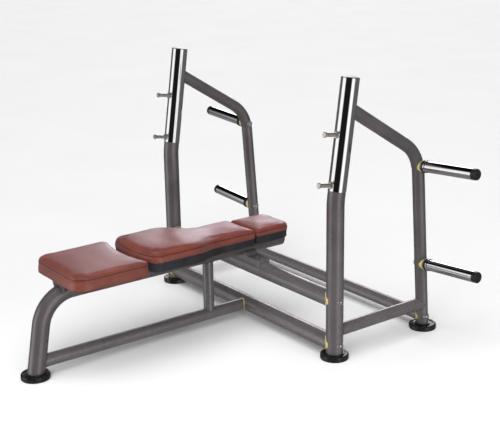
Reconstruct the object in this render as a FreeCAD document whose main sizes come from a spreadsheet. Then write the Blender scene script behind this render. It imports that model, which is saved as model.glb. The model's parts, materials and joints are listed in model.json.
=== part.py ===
"""Olympic bench press: flat bench, two welded side frames and bolted crossbars.

The frame is in millimetres with +Z up and the floor at z = 0.  +Y runs from the seat end to
the head end, and X is the width of the bench, so the bar lies along X.  The origin is on the
floor, in the middle of the footprint.
"""
import FreeCAD, Part
import math
import os

import Sketcher

V = FreeCAD.Vector
X_AXIS = V(1, 0, 0)
Y_AXIS = V(0, 1, 0)
Z_AXIS = V(0, 0, 1)
SIDES = (("left", -1), ("right", 1))
TINY = 1e-9
# a sketch's own axes, by the numbers that its constraints know them by
HORIZONTAL = -1
VERTICAL = -2

doc = FreeCAD.newDocument("olympic_bench_press")
sheet = doc.addObject("Spreadsheet::Sheet", "Sizes")

# ---------------------------------------------------------------------------------------------
# Driving dimensions, in millimetres and degrees
# ---------------------------------------------------------------------------------------------
SIZES = (
    # stance of the whole frame
    ("post_gap", 1222, "upright to upright, centre to centre; the bar has 1310 between its sleeves"),
    ("foot_span", 1597, "front foot to rear feet, centre to centre along Y"),
    ("upright_y", 274, "where the two front uprights stand"),
    # tube stock
    ("big_tube", 73, "outside diameter of uprights, front crossbars and bench beam"),
    ("small_tube", 54, "outside diameter of rear posts, rails, rear crossbar and lower beam"),
    ("strut_tube", 48, "outside diameter of the strut under the bench"),
    ("wall", 3, "wall of every painted tube"),
    ("stem_play", 0.2, "play of a plastic cap's stem in its tube"),
    ("cap_stem", 18, "how deep a cap's stem goes into its tube"),
    ("cap_rim", 3, "straight rim of a tube's cap"),
    ("cap_rise", 5, "dome of a top cap above its rim"),
    # solids that cut others
    ("cutter", 60, "length of the solids that cut bores and sockets"),
    ("cut_past", 1, "how far such a solid passes the face that it opens"),
    ("joint_reach", 110, "half length of the stretch of tube that copes another"),
    # uprights and their chrome sleeves
    ("bend_height", 676, "height of the upright's bend"),
    ("lean", 8.35, "upper part of the upright leans back, away from the bench"),
    ("upper_leg", 501, "length of the upright above its bend"),
    ("upright_bend_radius", 350, "centreline radius of the upright's bend"),
    ("sleeve_tube", 75, "outside diameter of the chrome sleeve"),
    ("sleeve_start", 48, "start of the chrome sleeve above the bend"),
    # rear posts
    ("post_lean", 4.4, "rear post leans forward"),
    ("post_leg", 813, "length of the rear post from the floor to its bend"),
    ("slope_angle", 31.4, "top tube of the side frame above the horizontal"),
    ("slope_leg", 476, "length of that tube from the bend to the upright's axis"),
    ("post_bend_radius", 170, "centreline radius of the rear post's bend"),
    # rails and crossbars, heights of their axes
    ("side_rail_height", 119, "side rail"),
    ("upper_bar_height", 258, "upper front crossbar"),
    ("lower_bar_height", 63, "lower front crossbar and lower beam"),
    ("rear_bar_height", 59, "rear crossbar"),
    ("rail_short", 2, "the side rail stops this far before the rear post's axis"),
    # bench frame
    ("beam_height", 343, "axis of the bench beam"),
    ("leg_lean", 10.4, "front leg leans towards the bench"),
    ("beam_bend_radius", 150, "centreline radius between leg and beam"),
    ("beam_end_y", 468, "rear end of the bench beam"),
    ("strut_y", 60, "place of the strut"),
    # feet
    ("foot_d", 120, "rubber foot"),
    ("foot_height", 23, "rubber foot at its outer ridge"),
    ("foot_floor", 10, "rubber under the end of a tube"),
    ("foot_lower_round", 3, "rounded lower edge"),
    ("foot_upper_round", 6, "rounded upper edge"),
    ("foot_ridge", 5, "flat width of the outer ridge"),
    ("foot_groove", 3, "depth of the groove inside the ridge"),
    ("foot_slope", 2, "slope of the groove's outer side"),
    ("foot_collar", 6, "rubber around the tube"),
    ("foot_collar_rise", 2, "collar above the ridge"),
    # bolted saddle joints
    ("gasket", 3, "saddle gasket between a coped tube end and the tube that it meets"),
    ("gasket_lip", 1.5, "how far the gasket stands out around the tube"),
    ("gasket_inner", 5, "how far the gasket reaches inside the tube's bore"),
    ("plug_inset", 8, "from the coped end's crown to the threaded plug"),
    ("plug_length", 12, "threaded plug welded inside a tube end"),
    ("bolt_d", 12, "frame bolt"),
    ("bolt_play", 1, "clearance of a frame bolt in its holes, on the diameter"),
    ("bolt_head_d", 23, "domed bolt head"),
    ("bolt_head_height", 7, "domed bolt head"),
    ("bolt_rim", 1.5, "straight rim of that head"),
    ("hex_corner", 4.6, "corner radius of the hexagon socket in that head"),
    ("hex_depth", 4, "depth of that socket"),
    ("bolt_chamfer", 1, "chamfer at a bolt's tip"),
    ("bolt_past_plug", 3, "bolt's tip beyond its thread"),
    ("washer_d", 30, "saddle washer"),
    ("washer_height", 2.5, "saddle washer above the tube's crown"),
    ("washer_skirt", 6, "how far it reaches down round the tube"),
    # plate horns
    ("upper_horn_height", 756, "upper plate horn at the post"),
    ("lower_horn_height", 310, "lower plate horn at the post"),
    ("horn_tilt", 3.7, "plate horns rise outwards"),
    ("horn_stub_d", 46, "painted stub of a horn"),
    ("stub_end", 39, "from the post's axis to the stub's end"),
    ("bumper_d", 55, "rubber ring on a horn"),
    ("bumper_round", 2, "rounded edges of that ring"),
    ("bumper_end", 50, "from the post's axis to the ring's end"),
    ("flange_d", 53, "chrome flange of a horn"),
    ("flange_end", 57, "from the post's axis to the flange's end"),
    ("flange_chamfer", 1, "chamfer on the flange"),
    ("horn_root", 8, "solid root of the sleeve, threaded for the bolt"),
    ("horn_d", 48, "chrome sleeve of a horn, for plates with a 50.4 hole"),
    ("horn_wall", 3, "wall of that sleeve"),
    ("horn_end", 308, "from the post's axis to the sleeve's end"),
    ("horn_cap_length", 21, "visible length of the cap in its end"),
    ("horn_cap_stem", 22, "how deep that cap goes into the sleeve"),
    ("horn_cap_round", 6, "rounded end of that cap"),
    ("set_screw_d", 4, "set screw in the flange's rim"),
    ("set_screw_depth", 6, "set screw below the rim"),
    ("set_screw_rise", 1.5, "set screw above the rim"),
    # bar rests
    ("upper_peg_height", 953, "upper bar rest, at the sleeve's surface"),
    ("lower_peg_height", 752, "lower bar rest, at the sleeve's surface"),
    ("peg_d", 17, "bar rest pin"),
    ("peg_reach", 66, "bar rest pin beyond the sleeve's surface"),
    ("peg_collar_d", 29, "collar at the pin's root"),
    ("peg_collar_length", 8, "collar at the pin's root"),
    ("peg_collar_sink", 4, "collar below the sleeve's crown, where it is coped"),
    ("peg_step", 2, "chamfer of the collar, and depth and length of the neck behind the disc"),
    ("peg_neck_slope", 1, "length of the bevel that leads into that neck"),
    ("peg_head_d", 24, "disc at the pin's end"),
    ("peg_head_length", 6, "disc at the pin's end"),
    ("peg_head_chamfer", 1.5, "chamfer on that disc"),
    ("peg_spigot_d", 12, "threaded spigot through the tube's wall"),
    ("spigot_start", 19, "inner end of the spigot, from the upright's axis"),
    ("peg_nut_corner", 10.4, "nut on the spigot, across its corners from the axis"),
    ("peg_nut_height", 9.6, "nut on the spigot"),
    ("peg_nut_start", 22, "inner face of that nut, from the upright's axis"),
    # bench saddle on the upper crossbar
    ("saddle_length", 272, "along the crossbar"),
    ("saddle_width", 58, "across the crossbar"),
    ("saddle_foot", 20, "lower edge of the saddle above the crossbar's axis"),
    ("cradle_length", 96, "raised middle that carries the beam"),
    ("cradle_rise", 18, "height of that middle above the saddle's top"),
    ("cradle_slope", 10, "slope of its ends"),
    ("saddle_bolt_d", 10, "saddle bolt"),
    ("saddle_bolt_length", 36, "shank of a saddle bolt"),
    ("saddle_head_d", 18, "head of a saddle bolt"),
    ("saddle_head_height", 6, "head of a saddle bolt"),
    ("nut_bar_width", 20, "threaded bar inside the crossbar"),
    ("nut_bar_height", 8, "threaded bar inside the crossbar"),
    ("nut_bar_margin", 12, "that bar beyond its outer bolts"),
    ("inner_saddle_bolt", 84, "inner pair of saddle bolts from the middle"),
    ("outer_saddle_bolt", 116, "outer pair of saddle bolts from the middle"),
    # pads
    ("plate_top", 384, "top of the cross plates, which carry the boards"),
    ("plate_height", 6, "cross plate"),
    ("board_height", 15, "plywood board inside the seat"),
    ("board_inset", 12, "seat board inside the cushion's outline"),
    ("board_play", 0.5, "gap between the board and its cushion"),
    ("back_base_height", 31, "moulded base of the back pad"),
    ("head_base_height", 25, "moulded base of the head pad"),
    ("base_inset", 4, "moulded base inside the cushion's outline"),
    ("seat_bottom", 390, "lower edge of the seat's cover"),
    ("seat_top", 446, "top of the seat"),
    ("back_top", 452, "top of the back pad"),
    ("head_top", 440, "top of the head pad"),
    ("seat_front", -680, "front edge of the seat"),
    ("seat_rear", -338, "rear corners of the seat"),
    ("seat_half", 196, "half width of the seat"),
    ("seat_corner", 40, "front corners of the seat"),
    ("seat_rear_corner", 20, "rear corners of the seat"),
    ("seat_hollow", 24, "how far the seat's rear edge curves in"),
    ("back_front", -346, "foremost point of the back pad"),
    ("back_half", 178, "half width of the back pad at the shoulders"),
    ("back_corner", 50, "front corners of the back pad"),
    ("back_bow", 480, "radius of the back pad's bowed front edge"),
    ("taper_start", -150, "where the back pad begins to narrow"),
    ("taper_end", 90, "where it has reached the neck's width"),
    ("neck_half", 112, "half width of the neck"),
    ("head_half", 109, "half width of the head pad"),
    ("back_rear", 250, "rear edge of the back pad"),
    ("pad_gap", 5, "gap between the back pad and the head pad"),
    ("neck_corner", 15, "small corners at the gap"),
    ("head_rear", 458, "rear edge of the head pad"),
    ("head_corner", 56, "rear corners of the head pad"),
    ("pad_round", 10, "rounded top edge of the cushions"),
    ("screw_d", 8, "pad screw"),
    ("screw_head_d", 16, "pad screw's head"),
    ("screw_head_height", 5, "pad screw's head"),
    ("screw_bevel", 2, "bevel of that head"),
    ("screw_x", 62, "pad screws from the middle of the bench"),
    ("tee_sleeve", 12, "length of a tee nut in its board"),
    ("tee_wall", 1.5, "tee nut's sleeve and flange"),
    ("tee_d", 22, "flange of a tee nut"),
    ("plate_half", 84, "half length of a cross plate along X"),
    ("plate_width", 46, "cross plate along Y"),
    ("support_y", -671, "front plate that carries the seat"),
    ("support_flange", 44, "its flange under the seat, along Y"),
    ("support_flare", 18, "how far it widens from the beam to the seat, on each side"),
    ("flange_overhang", 50, "its flange beyond the beam, on each side"),
    ("seat_plate_y", -420, "cross plate under the seat's rear"),
    ("back_front_plate_y", -205, "front cross plate of the back pad"),
    ("back_rear_plate_y", 165, "rear cross plate of the back pad"),
    ("head_plate_y", 370, "cross plate of the head pad"),
)
for row, (alias, number, note) in enumerate(SIZES, start=1):
    sheet.set(f"A{row}", alias)
    sheet.set(f"B{row}", str(number))
    sheet.set(f"C{row}", note)
    sheet.setAlias(f"B{row}", alias)
doc.recompute()


# ---------------------------------------------------------------------------------------------
# Expressions and placement
# ---------------------------------------------------------------------------------------------
ALIASES = {alias for alias, _, _ in SIZES}


def full(expression):
    """Writes out the sheet's name in front of every size in an expression."""
    words = []
    word = ""
    for letter in str(expression) + " ":
        if letter.isalnum() or letter == "_":
            word += letter
            continue
        words.append("Sizes." + word if word in ALIASES else word)
        words.append(letter)
        word = ""
    return "".join(words).strip()


def value(expression):
    """The number that an expression gives now."""
    result = sheet.evalExpression(full(expression))
    return float(getattr(result, "Value", result))


def bind(thing, **properties):
    """Binds properties of an object to expressions of the sheet's sizes."""
    for name, expression in properties.items():
        thing.setExpression(name, full(expression))
    return thing


def place(thing, x="0", y="0", z="0", axis=None, angle="0"):
    """Binds an object's position, and its turn about one axis, to the sheet's sizes."""
    if axis is not None:
        # a rotation keeps its axis only while its angle isn't zero, so it starts at one degree
        thing.Placement = FreeCAD.Placement(V(), FreeCAD.Rotation(axis, 1))
        thing.setExpression("Placement.Rotation.Angle", full(angle))
    thing.setExpression("Placement.Base.x", full(x))
    thing.setExpression("Placement.Base.y", full(y))
    thing.setExpression("Placement.Base.z", full(z))
    return thing


def shifted(where, distance):
    """The same placement moved along its own Z axis."""
    moved = dict({"x": "0", "y": "0", "z": "0", "axis": None, "angle": "0"}, **where)
    turn = moved["angle"]
    if moved["axis"] == Y_AXIS:
        moved["x"] = f"{moved['x']} + ({distance}) * sin({turn})"
    if moved["axis"] == X_AXIS:
        moved["y"] = f"{moved['y']} - ({distance}) * sin({turn})"
    moved["z"] = f"{moved['z']} + ({distance}) * cos({turn})"
    return moved


# ---------------------------------------------------------------------------------------------
# Solids: cylinders, booleans, turned bodies and plates cut from an outline
# ---------------------------------------------------------------------------------------------
NODES = []


def node(thing, label):
    """Names a finished sub-part and keeps it for export."""
    thing.Label = label
    NODES.append(thing)
    return thing


def cylinder(radius, height, **where):
    """A cylinder along its own Z axis."""
    thing = doc.addObject("Part::Cylinder", "Cylinder")
    bind(thing, Radius=radius, Height=height)
    return place(thing, **where)


def cut(base, *tools):
    """The base without each tool in turn."""
    for tool in tools:
        result = doc.addObject("Part::Cut", "Cut")
        result.Base = base
        result.Tool = tool
        base = result
    return base


def common(first, second):
    """What two solids share."""
    result = doc.addObject("Part::Common", "Common")
    result.Base = first
    result.Tool = second
    return result


def group(label, things):
    """Several separate solids in one node."""
    result = doc.addObject("Part::Compound", "Compound")
    result.Links = things
    return node(result, label)


def plane(body, role):
    """One of a body's own origin planes."""
    return next(item for item in body.Origin.OriginFeatures if item.Role == role)


def new_sketch(body, role):
    """A sketch on one of a body's origin planes."""
    sketch = body.newObject("Sketcher::SketchObject", "Sketch")
    sketch.AttachmentSupport = [(plane(body, role), "")]
    sketch.MapMode = "FlatFace"
    return sketch


def arc_between(start, end, radius):
    """The arc from start to end; a positive radius turns left and a negative one right."""
    half = (end - start) * 0.5
    rise = math.sqrt(max(radius * radius - half.Length ** 2, 0.0))
    left = V(-half.y, half.x, 0).normalize()
    centre = start + half + left * math.copysign(rise, radius)
    first, last = (start, end) if radius > 0 else (end, start)
    begin = math.atan2(first.y - centre.y, first.x - centre.x)
    finish = math.atan2(last.y - centre.y, last.x - centre.x)
    if finish < begin:
        finish += 2 * math.pi
    return Part.ArcOfCircle(Part.Circle(centre, Z_AXIS, abs(radius)), begin, finish)


def fix_point(sketch, geometry, end, x, y):
    """Constrains one end of a line or arc to expressions for its two coordinates.

    A coordinate of zero puts the point on the sketch's own axis instead."""
    for zero_line, kind, expression in ((VERTICAL, "DistanceX", x), (HORIZONTAL, "DistanceY", y)):
        number = value(expression)
        if abs(number) < TINY:
            sketch.addConstraint(Sketcher.Constraint("PointOnObject", geometry, end, zero_line))
            continue
        index = sketch.addConstraint(Sketcher.Constraint(kind, geometry, end, number))
        sketch.setExpression(f"Constraints[{index}]", full(expression))


def outline(sketch, points):
    """Draws a closed outline; a point's third entry is the radius of the arc that leaves it."""
    corners = [V(value(point[0]), value(point[1]), 0) for point in points]
    ends = []
    for index, point in enumerate(points):
        start = corners[index]
        end = corners[(index + 1) % len(points)]
        if len(point) == 2:
            number = sketch.addGeometry(Part.LineSegment(start, end), False)
            ends.append((number, 1, 2))
            continue
        radius = value(point[2])
        number = sketch.addGeometry(arc_between(start, end, radius), False)
        ends.append((number, 1, 2) if radius > 0 else (number, 2, 1))
    for index, (number, _, last) in enumerate(ends):
        following, entry, _ = ends[(index + 1) % len(ends)]
        sketch.addConstraint(Sketcher.Constraint("Coincident", number, last, following, entry))
    for index, point in enumerate(points):
        number, first, _ = ends[index]
        fix_point(sketch, number, first, point[0], point[1])
        if len(point) == 3:
            radius = abs(value(point[2]))
            constraint = sketch.addConstraint(Sketcher.Constraint("Radius", number, radius))
            sketch.setExpression(f"Constraints[{constraint}]", full(f"abs({point[2]})"))


def turned(name, profile, role="XZ_Plane"):
    """A body of revolution about Z from (radius, height) points; its seam lies in that plane."""
    body = doc.addObject("PartDesign::Body", name)
    sketch = new_sketch(body, role)
    outline(sketch, profile)
    revolution = body.newObject("PartDesign::Revolution", "Revolution")
    revolution.Profile = sketch
    revolution.ReferenceAxis = (sketch, ["V_Axis"])
    revolution.Angle = 360
    sketch.Visibility = False
    return body


def extruded(name, role, points, length, midplane=False):
    """A body padded from an outline on one of its origin planes."""
    body = doc.addObject("PartDesign::Body", name)
    sketch = new_sketch(body, role)
    outline(sketch, points)
    pad = body.newObject("PartDesign::Pad", "Pad")
    pad.Profile = sketch
    bind(pad, Length=length)
    if midplane:
        pad.SideType = "Symmetric"
    sketch.Visibility = False
    return body, pad


def round_top(body, pad, radius):
    """Rounds the edges of a padded body's top face."""
    doc.recompute()
    faces = pad.Shape.Faces
    heights = [face.CenterOfMass.z for face in faces]
    top = heights.index(max(heights)) + 1
    fillet = body.newObject("PartDesign::Fillet", "Fillet")
    fillet.Base = (pad, [f"Face{top}"])
    bind(fillet, Radius=radius)
    body.Tip = fillet


# ---------------------------------------------------------------------------------------------
# Tubes
# ---------------------------------------------------------------------------------------------
def straight_tube(diameter, length, **where):
    """A straight tube along its own Z axis, before its ends are coped."""
    outer = cylinder(f"{diameter} / 2", length, **where)
    inner = cylinder(f"{diameter} / 2 - wall", length, **where)
    return cut(outer, inner)


def bent_tube(x, foot_y, first_angle, first_leg, second_angle, second_leg, radius, diameter):
    """A tube bent once in the YZ plane, as its solid envelope and as the hollow tube.

    It starts above the floor point (x, foot_y).  Angles are from the vertical towards +Y, and
    legs are measured to the bend's vertex."""
    vertex_y = f"({foot_y} + ({first_leg}) * sin({first_angle}))"
    vertex_z = f"({first_leg}) * cos({first_angle})"
    tangent = f"({radius}) * tan(abs(({second_angle}) - ({first_angle})) / 2)"
    start_y = f"{foot_y} + foot_floor * tan({first_angle})"
    start_z = "foot_floor"
    bend_in_y = f"{vertex_y} - {tangent} * sin({first_angle})"
    bend_in_z = f"{vertex_z} - {tangent} * cos({first_angle})"
    bend_out_y = f"{vertex_y} + {tangent} * sin({second_angle})"
    bend_out_z = f"{vertex_z} + {tangent} * cos({second_angle})"
    end_y = f"{vertex_y} + ({second_leg}) * sin({second_angle})"
    end_z = f"{vertex_z} + ({second_leg}) * cos({second_angle})"
    ends = ((start_y, start_z), (bend_in_y, bend_in_z), (bend_out_y, bend_out_z), (end_y, end_z))
    points = [V(value(y), value(z), 0) for y, z in ends]
    forward = value(second_angle) > value(first_angle)
    bend = arc_between(points[1], points[2], -value(radius) if forward else value(radius))
    entry, exit_end = (2, 1) if forward else (1, 2)

    path = doc.addObject("Sketcher::SketchObject", "TubePath")
    path.addGeometry(Part.LineSegment(points[0], points[1]), False)
    path.addGeometry(bend, False)
    path.addGeometry(Part.LineSegment(points[2], points[3]), False)
    path.addConstraint(Sketcher.Constraint("Coincident", 0, 2, 1, entry))
    path.addConstraint(Sketcher.Constraint("Coincident", 1, exit_end, 2, 1))
    for geometry, end, (y, z) in ((0, 1, ends[0]), (0, 2, ends[1]), (2, 1, ends[2]), (2, 2, ends[3])):
        fix_point(path, geometry, end, y, z)
    index = path.addConstraint(Sketcher.Constraint("Radius", 1, value(radius)))
    path.setExpression(f"Constraints[{index}]", full(radius))
    path.Placement = FreeCAD.Placement(V(), FreeCAD.Rotation(Y_AXIS, Z_AXIS, X_AXIS, "ZXY"))
    path.setExpression("Placement.Base.x", full(x))

    sweeps = []
    for section_radius in (f"{diameter} / 2", f"{diameter} / 2 - wall"):
        circle = bind(doc.addObject("Part::Circle", "Section"), Radius=section_radius)
        place(circle, x=x, y=start_y, z=start_z, axis=X_AXIS, angle=f"-1 * ({first_angle})")
        sweep = doc.addObject("Part::Sweep", "Sweep")
        sweep.Sections = [circle]
        sweep.Spine = (path, ["Edge1", "Edge2", "Edge3"])
        sweep.Solid = True
        sweep.Frenet = False
        sweeps.append(sweep)
    return sweeps[0], cut(sweeps[0], sweeps[1])


# ---------------------------------------------------------------------------------------------
# Bolted saddle joints: a coped tube end, its gasket, threaded plug, bolt and saddle washer
# ---------------------------------------------------------------------------------------------
GASKETS = []
PLUGS = []
BOLTS = []
WASHERS = []


def domed_bolt(grip, length, where):
    """A domed socket bolt along its own Z axis: its head is below -grip, its tip at length."""
    rise = "(bolt_head_height - bolt_rim)"
    dome = f"(bolt_head_d ^ 2 / 4 + {rise} ^ 2) / (2 * {rise})"
    profile = [
        ("0", f"-1 * ({grip}) - bolt_head_height", dome),
        ("bolt_head_d / 2", f"-1 * ({grip}) - bolt_rim"),
        ("bolt_head_d / 2", f"-1 * ({grip})"),
        ("bolt_d / 2", f"-1 * ({grip})"),
        ("bolt_d / 2", f"({length}) - bolt_chamfer"),
        ("bolt_d / 2 - bolt_chamfer", length),
        ("0", length),
    ]
    bolt = place(turned("Bolt", profile, "YZ_Plane"), **where)
    socket = doc.addObject("Part::Prism", "HexSocket")
    socket.Polygon = 6
    bind(socket, Circumradius="hex_corner", Height="hex_depth + cut_past")
    place(socket, **shifted(where, f"-1 * ({grip}) - bolt_head_height - cut_past"))
    BOLTS.append(cut(bolt, socket))


def bolt_hole(post_d, where):
    """The hole for a frame bolt, right through the tube that it crosses."""
    return cylinder("(bolt_d + bolt_play) / 2", f"2 * {post_d}", **shifted(where, f"-1 * {post_d}"))


def saddle_washer(tube, hole, post_d, where):
    """A washer shaped to the tube under a bolt's head."""
    back = shifted(where, f"-1 * ({post_d} / 2 + washer_height)")
    disc = cylinder("washer_d / 2", "washer_height + washer_skirt", **back)
    WASHERS.append(cut(disc, tube, hole))


def joint(bar_d, post_d, post, where):
    """Bolts the end of a bar to a post; the bar's axis is Z of `where`, from the post's axis.

    It returns the solid that copes the bar and the hole for the bolt."""
    envelope = cylinder(f"{post_d} / 2", "2 * joint_reach", **post)
    cope = cylinder(f"{post_d} / 2 + gasket", "2 * joint_reach", **post)
    hole = bolt_hole(post_d, where)

    ring = common(cylinder(f"{bar_d} / 2 + gasket_lip", "cutter", **where), cope)
    bore = cylinder(f"{bar_d} / 2 - wall - gasket_inner", "cutter", **where)
    GASKETS.append(cut(ring, envelope, bore))

    crown = f"{post_d} / 2 + gasket"
    start = f"{crown} + plug_inset"
    plug = cylinder(f"{bar_d} / 2 - wall", "plug_length", **shifted(where, start))
    thread = cylinder("bolt_d / 2", "plug_length", **shifted(where, start))
    PLUGS.append(cut(plug, thread))

    saddle_washer(envelope, hole, post_d, where)
    domed_bolt(f"{post_d} / 2 + washer_height", f"{start} + plug_length + bolt_past_plug", where)
    return cope, hole


# ---------------------------------------------------------------------------------------------
# Places along the leaning tubes
# ---------------------------------------------------------------------------------------------
def upright_x(sign):
    """The centre of the upright on one side."""
    return f"{sign} * post_gap / 2"


def along_upright(x, distance):
    """A placement on the leaning part of an upright, at a distance above its bend."""
    bend = {"x": x, "y": "upright_y", "z": "bend_height", "axis": X_AXIS, "angle": "-1 * lean"}
    return shifted(bend, distance)


def peg_place(x, height):
    """A bar rest's axis, from the upright's axis out through the sleeve at the given height."""
    axis_height = f"({height} - sleeve_tube / 2 * sin(lean))"
    y = f"upright_y + ({axis_height} - bend_height) * tan(lean)"
    return {"x": x, "y": y, "z": axis_height, "axis": X_AXIS, "angle": "90 - lean"}


def horn_place(sign, height):
    """A plate horn's axis, from the rear post's axis outwards."""
    y = f"foot_span / 2 - {height} * tan(post_lean)"
    turn = f"{sign} * (90 - horn_tilt)"
    return {"x": upright_x(sign), "y": y, "z": height, "axis": Y_AXIS, "angle": turn}


def rear_post_place(sign):
    """The rear post's straight part, from the floor up."""
    place_on_floor = {"x": upright_x(sign), "y": "foot_span / 2", "z": "0"}
    return dict(place_on_floor, axis=X_AXIS, angle="post_lean")


# ---------------------------------------------------------------------------------------------
# Side frames
# ---------------------------------------------------------------------------------------------
HORN_HEIGHTS = (("upper", "upper_horn_height"), ("lower", "lower_horn_height"))
PEG_HEIGHTS = (("upper", "upper_peg_height"), ("lower", "lower_peg_height"))
BIG_STEM = "big_tube / 2 - wall - stem_play"
PEG_NUTS = []
SET_SCREWS = []
BUMPERS = []
rear_bar_tools = []
front_bar_tools = {"upper_bar_height": [], "lower_bar_height": []}


def foot(label, x, y, tube_d, tube_start):
    """A rubber foot whose socket takes the end of a tube."""
    collar = f"{tube_d} / 2 + foot_collar"
    ridge = "foot_d / 2 - foot_upper_round - foot_ridge"
    groove = "foot_height - foot_groove"
    top = "foot_height + foot_collar_rise"
    profile = [
        ("0", "0"),
        ("foot_d / 2 - foot_lower_round", "0", "foot_lower_round"),
        ("foot_d / 2", "foot_lower_round"),
        ("foot_d / 2", "foot_height - foot_upper_round", "foot_upper_round"),
        ("foot_d / 2 - foot_upper_round", "foot_height"),
        (ridge, "foot_height"),
        (f"{ridge} - foot_slope", groove),
        (f"{collar} + foot_slope / 2", groove),
        (collar, top),
        ("0", top),
    ]
    puck = place(turned("Foot", profile), x=x, y=y)
    socket = cylinder(f"{tube_d} / 2", "cutter", **tube_start)
    node(cut(puck, socket), label)


def side_frame(side, sign):
    """One welded side frame with its chrome sleeve, cap, rests, horns and feet."""
    x = upright_x(sign)
    inward = f"{-sign} * 90"

    # upright, with the holes for the two crossbars' bolts and for the bar rests
    _, upright = bent_tube(x, "upright_y", "0", "bend_height", "lean", "upper_leg",
                           "upright_bend_radius", "big_tube")
    holes = []
    for height, tools in front_bar_tools.items():
        where = {"x": x, "y": "upright_y", "z": height, "axis": Y_AXIS, "angle": inward}
        post = {"x": x, "y": "upright_y", "z": f"{height} - joint_reach"}
        cope, hole = joint("big_tube", "big_tube", post, where)
        tools.append(cope)
        holes.append(hole)
    spigot_holes = []
    for _, height in PEG_HEIGHTS:
        where = peg_place(x, height)
        spigot_holes.append(cylinder("peg_spigot_d / 2", "cutter", **where))
    node(cut(upright, *holes, *spigot_holes), f"upright_tube_{side}")

    # chrome sleeve and its cap
    sleeve_place = along_upright(x, "sleeve_start")
    sleeve_length = "upper_leg - sleeve_start"
    envelope = cylinder("sleeve_tube / 2", sleeve_length, **sleeve_place)
    inside = cylinder("big_tube / 2", sleeve_length, **sleeve_place)
    node(cut(envelope, inside, *spigot_holes), f"chrome_sleeve_{side}")
    dome = "(sleeve_tube ^ 2 / 4 + cap_rise ^ 2) / (2 * cap_rise)"
    cap = turned("TopCap", [
        ("0", "-1 * cap_stem"),
        (BIG_STEM, "-1 * cap_stem"),
        (BIG_STEM, "0"),
        ("sleeve_tube / 2", "0"),
        ("sleeve_tube / 2", "cap_rim", dome),
        ("0", "cap_rim + cap_rise"),
    ])
    node(place(cap, **along_upright(x, "upper_leg")), f"top_cap_{side}")

    # bar rests: a coped collar, a pin, an end disc and a threaded spigot with its nut
    for level, height in PEG_HEIGHTS:
        where = peg_place(x, height)
        surface = "sleeve_tube / 2"
        tip = f"{surface} + peg_reach"
        disc = f"{tip} - peg_head_length"
        peg = turned("Peg", [
            ("0", "spigot_start"),
            ("peg_spigot_d / 2", "spigot_start"),
            ("peg_spigot_d / 2", f"{surface} - peg_collar_sink"),
            ("peg_collar_d / 2", f"{surface} - peg_collar_sink"),
            ("peg_collar_d / 2", f"{surface} + peg_collar_length - peg_step"),
            ("peg_collar_d / 2 - peg_step", f"{surface} + peg_collar_length"),
            ("peg_d / 2", f"{surface} + peg_collar_length"),
            ("peg_d / 2", f"{disc} - peg_step - peg_neck_slope"),
            ("peg_d / 2 - peg_step", f"{disc} - peg_step"),
            ("peg_d / 2 - peg_step", disc),
            ("peg_head_d / 2", disc),
            ("peg_head_d / 2", f"{tip} - peg_head_chamfer"),
            ("peg_head_d / 2 - peg_head_chamfer", tip),
            ("0", tip),
        ])
        place(peg, **where)
        spigot = cylinder("peg_spigot_d / 2", "cutter", **where)
        node(cut(peg, cut(envelope, spigot)), f"{level}_bar_rest_{side}")
        nut = doc.addObject("Part::Prism", "Nut")
        nut.Polygon = 6
        bind(nut, Circumradius="peg_nut_corner", Height="peg_nut_height")
        place(nut, **shifted(where, "peg_nut_start"))
        PEG_NUTS.append(cut(nut, spigot))

    # rear post and top slope, one bent tube coped to the chrome sleeve
    post_outer, post = bent_tube(x, "foot_span / 2", "-1 * post_lean", "post_leg",
                                 "slope_angle - 90", "slope_leg", "post_bend_radius", "small_tube")
    horn_holes = [bolt_hole("small_tube", horn_place(sign, height)) for _, height in HORN_HEIGHTS]
    lean_y = "foot_span / 2 - rear_bar_height * tan(post_lean)"
    where = {"x": x, "y": lean_y, "z": "rear_bar_height", "axis": Y_AXIS, "angle": inward}
    post_place = shifted(rear_post_place(sign), "rear_bar_height - joint_reach")
    cope, bar_hole = joint("small_tube", "small_tube", post_place, where)
    rear_bar_tools.append(cope)
    node(cut(post, envelope, bar_hole, *horn_holes), f"rear_post_{side}")

    # side rail, coped at both ends
    rail_end = "foot_span / 2 - side_rail_height * tan(post_lean) - rail_short"
    rail = straight_tube("small_tube", f"{rail_end} - upright_y", x=x, y="upright_y",
                         z="side_rail_height", axis=X_AXIS, angle="-90")
    upright_envelope = cylinder("big_tube / 2", "2 * side_rail_height", x=x, y="upright_y")
    node(cut(rail, upright_envelope, post_outer), f"side_rail_{side}")

    # feet
    upright_start = {"x": x, "y": "upright_y", "z": "foot_floor"}
    foot(f"front_foot_{side}", x, "upright_y", "big_tube", upright_start)
    post_start = shifted(rear_post_place(sign), "foot_floor / cos(post_lean)")
    foot(f"rear_foot_{side}", x, "foot_span / 2", "small_tube", post_start)

    for level, height in HORN_HEIGHTS:
        plate_horn(f"{level}_horn", side, sign, horn_place(sign, height), post_outer)


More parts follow.
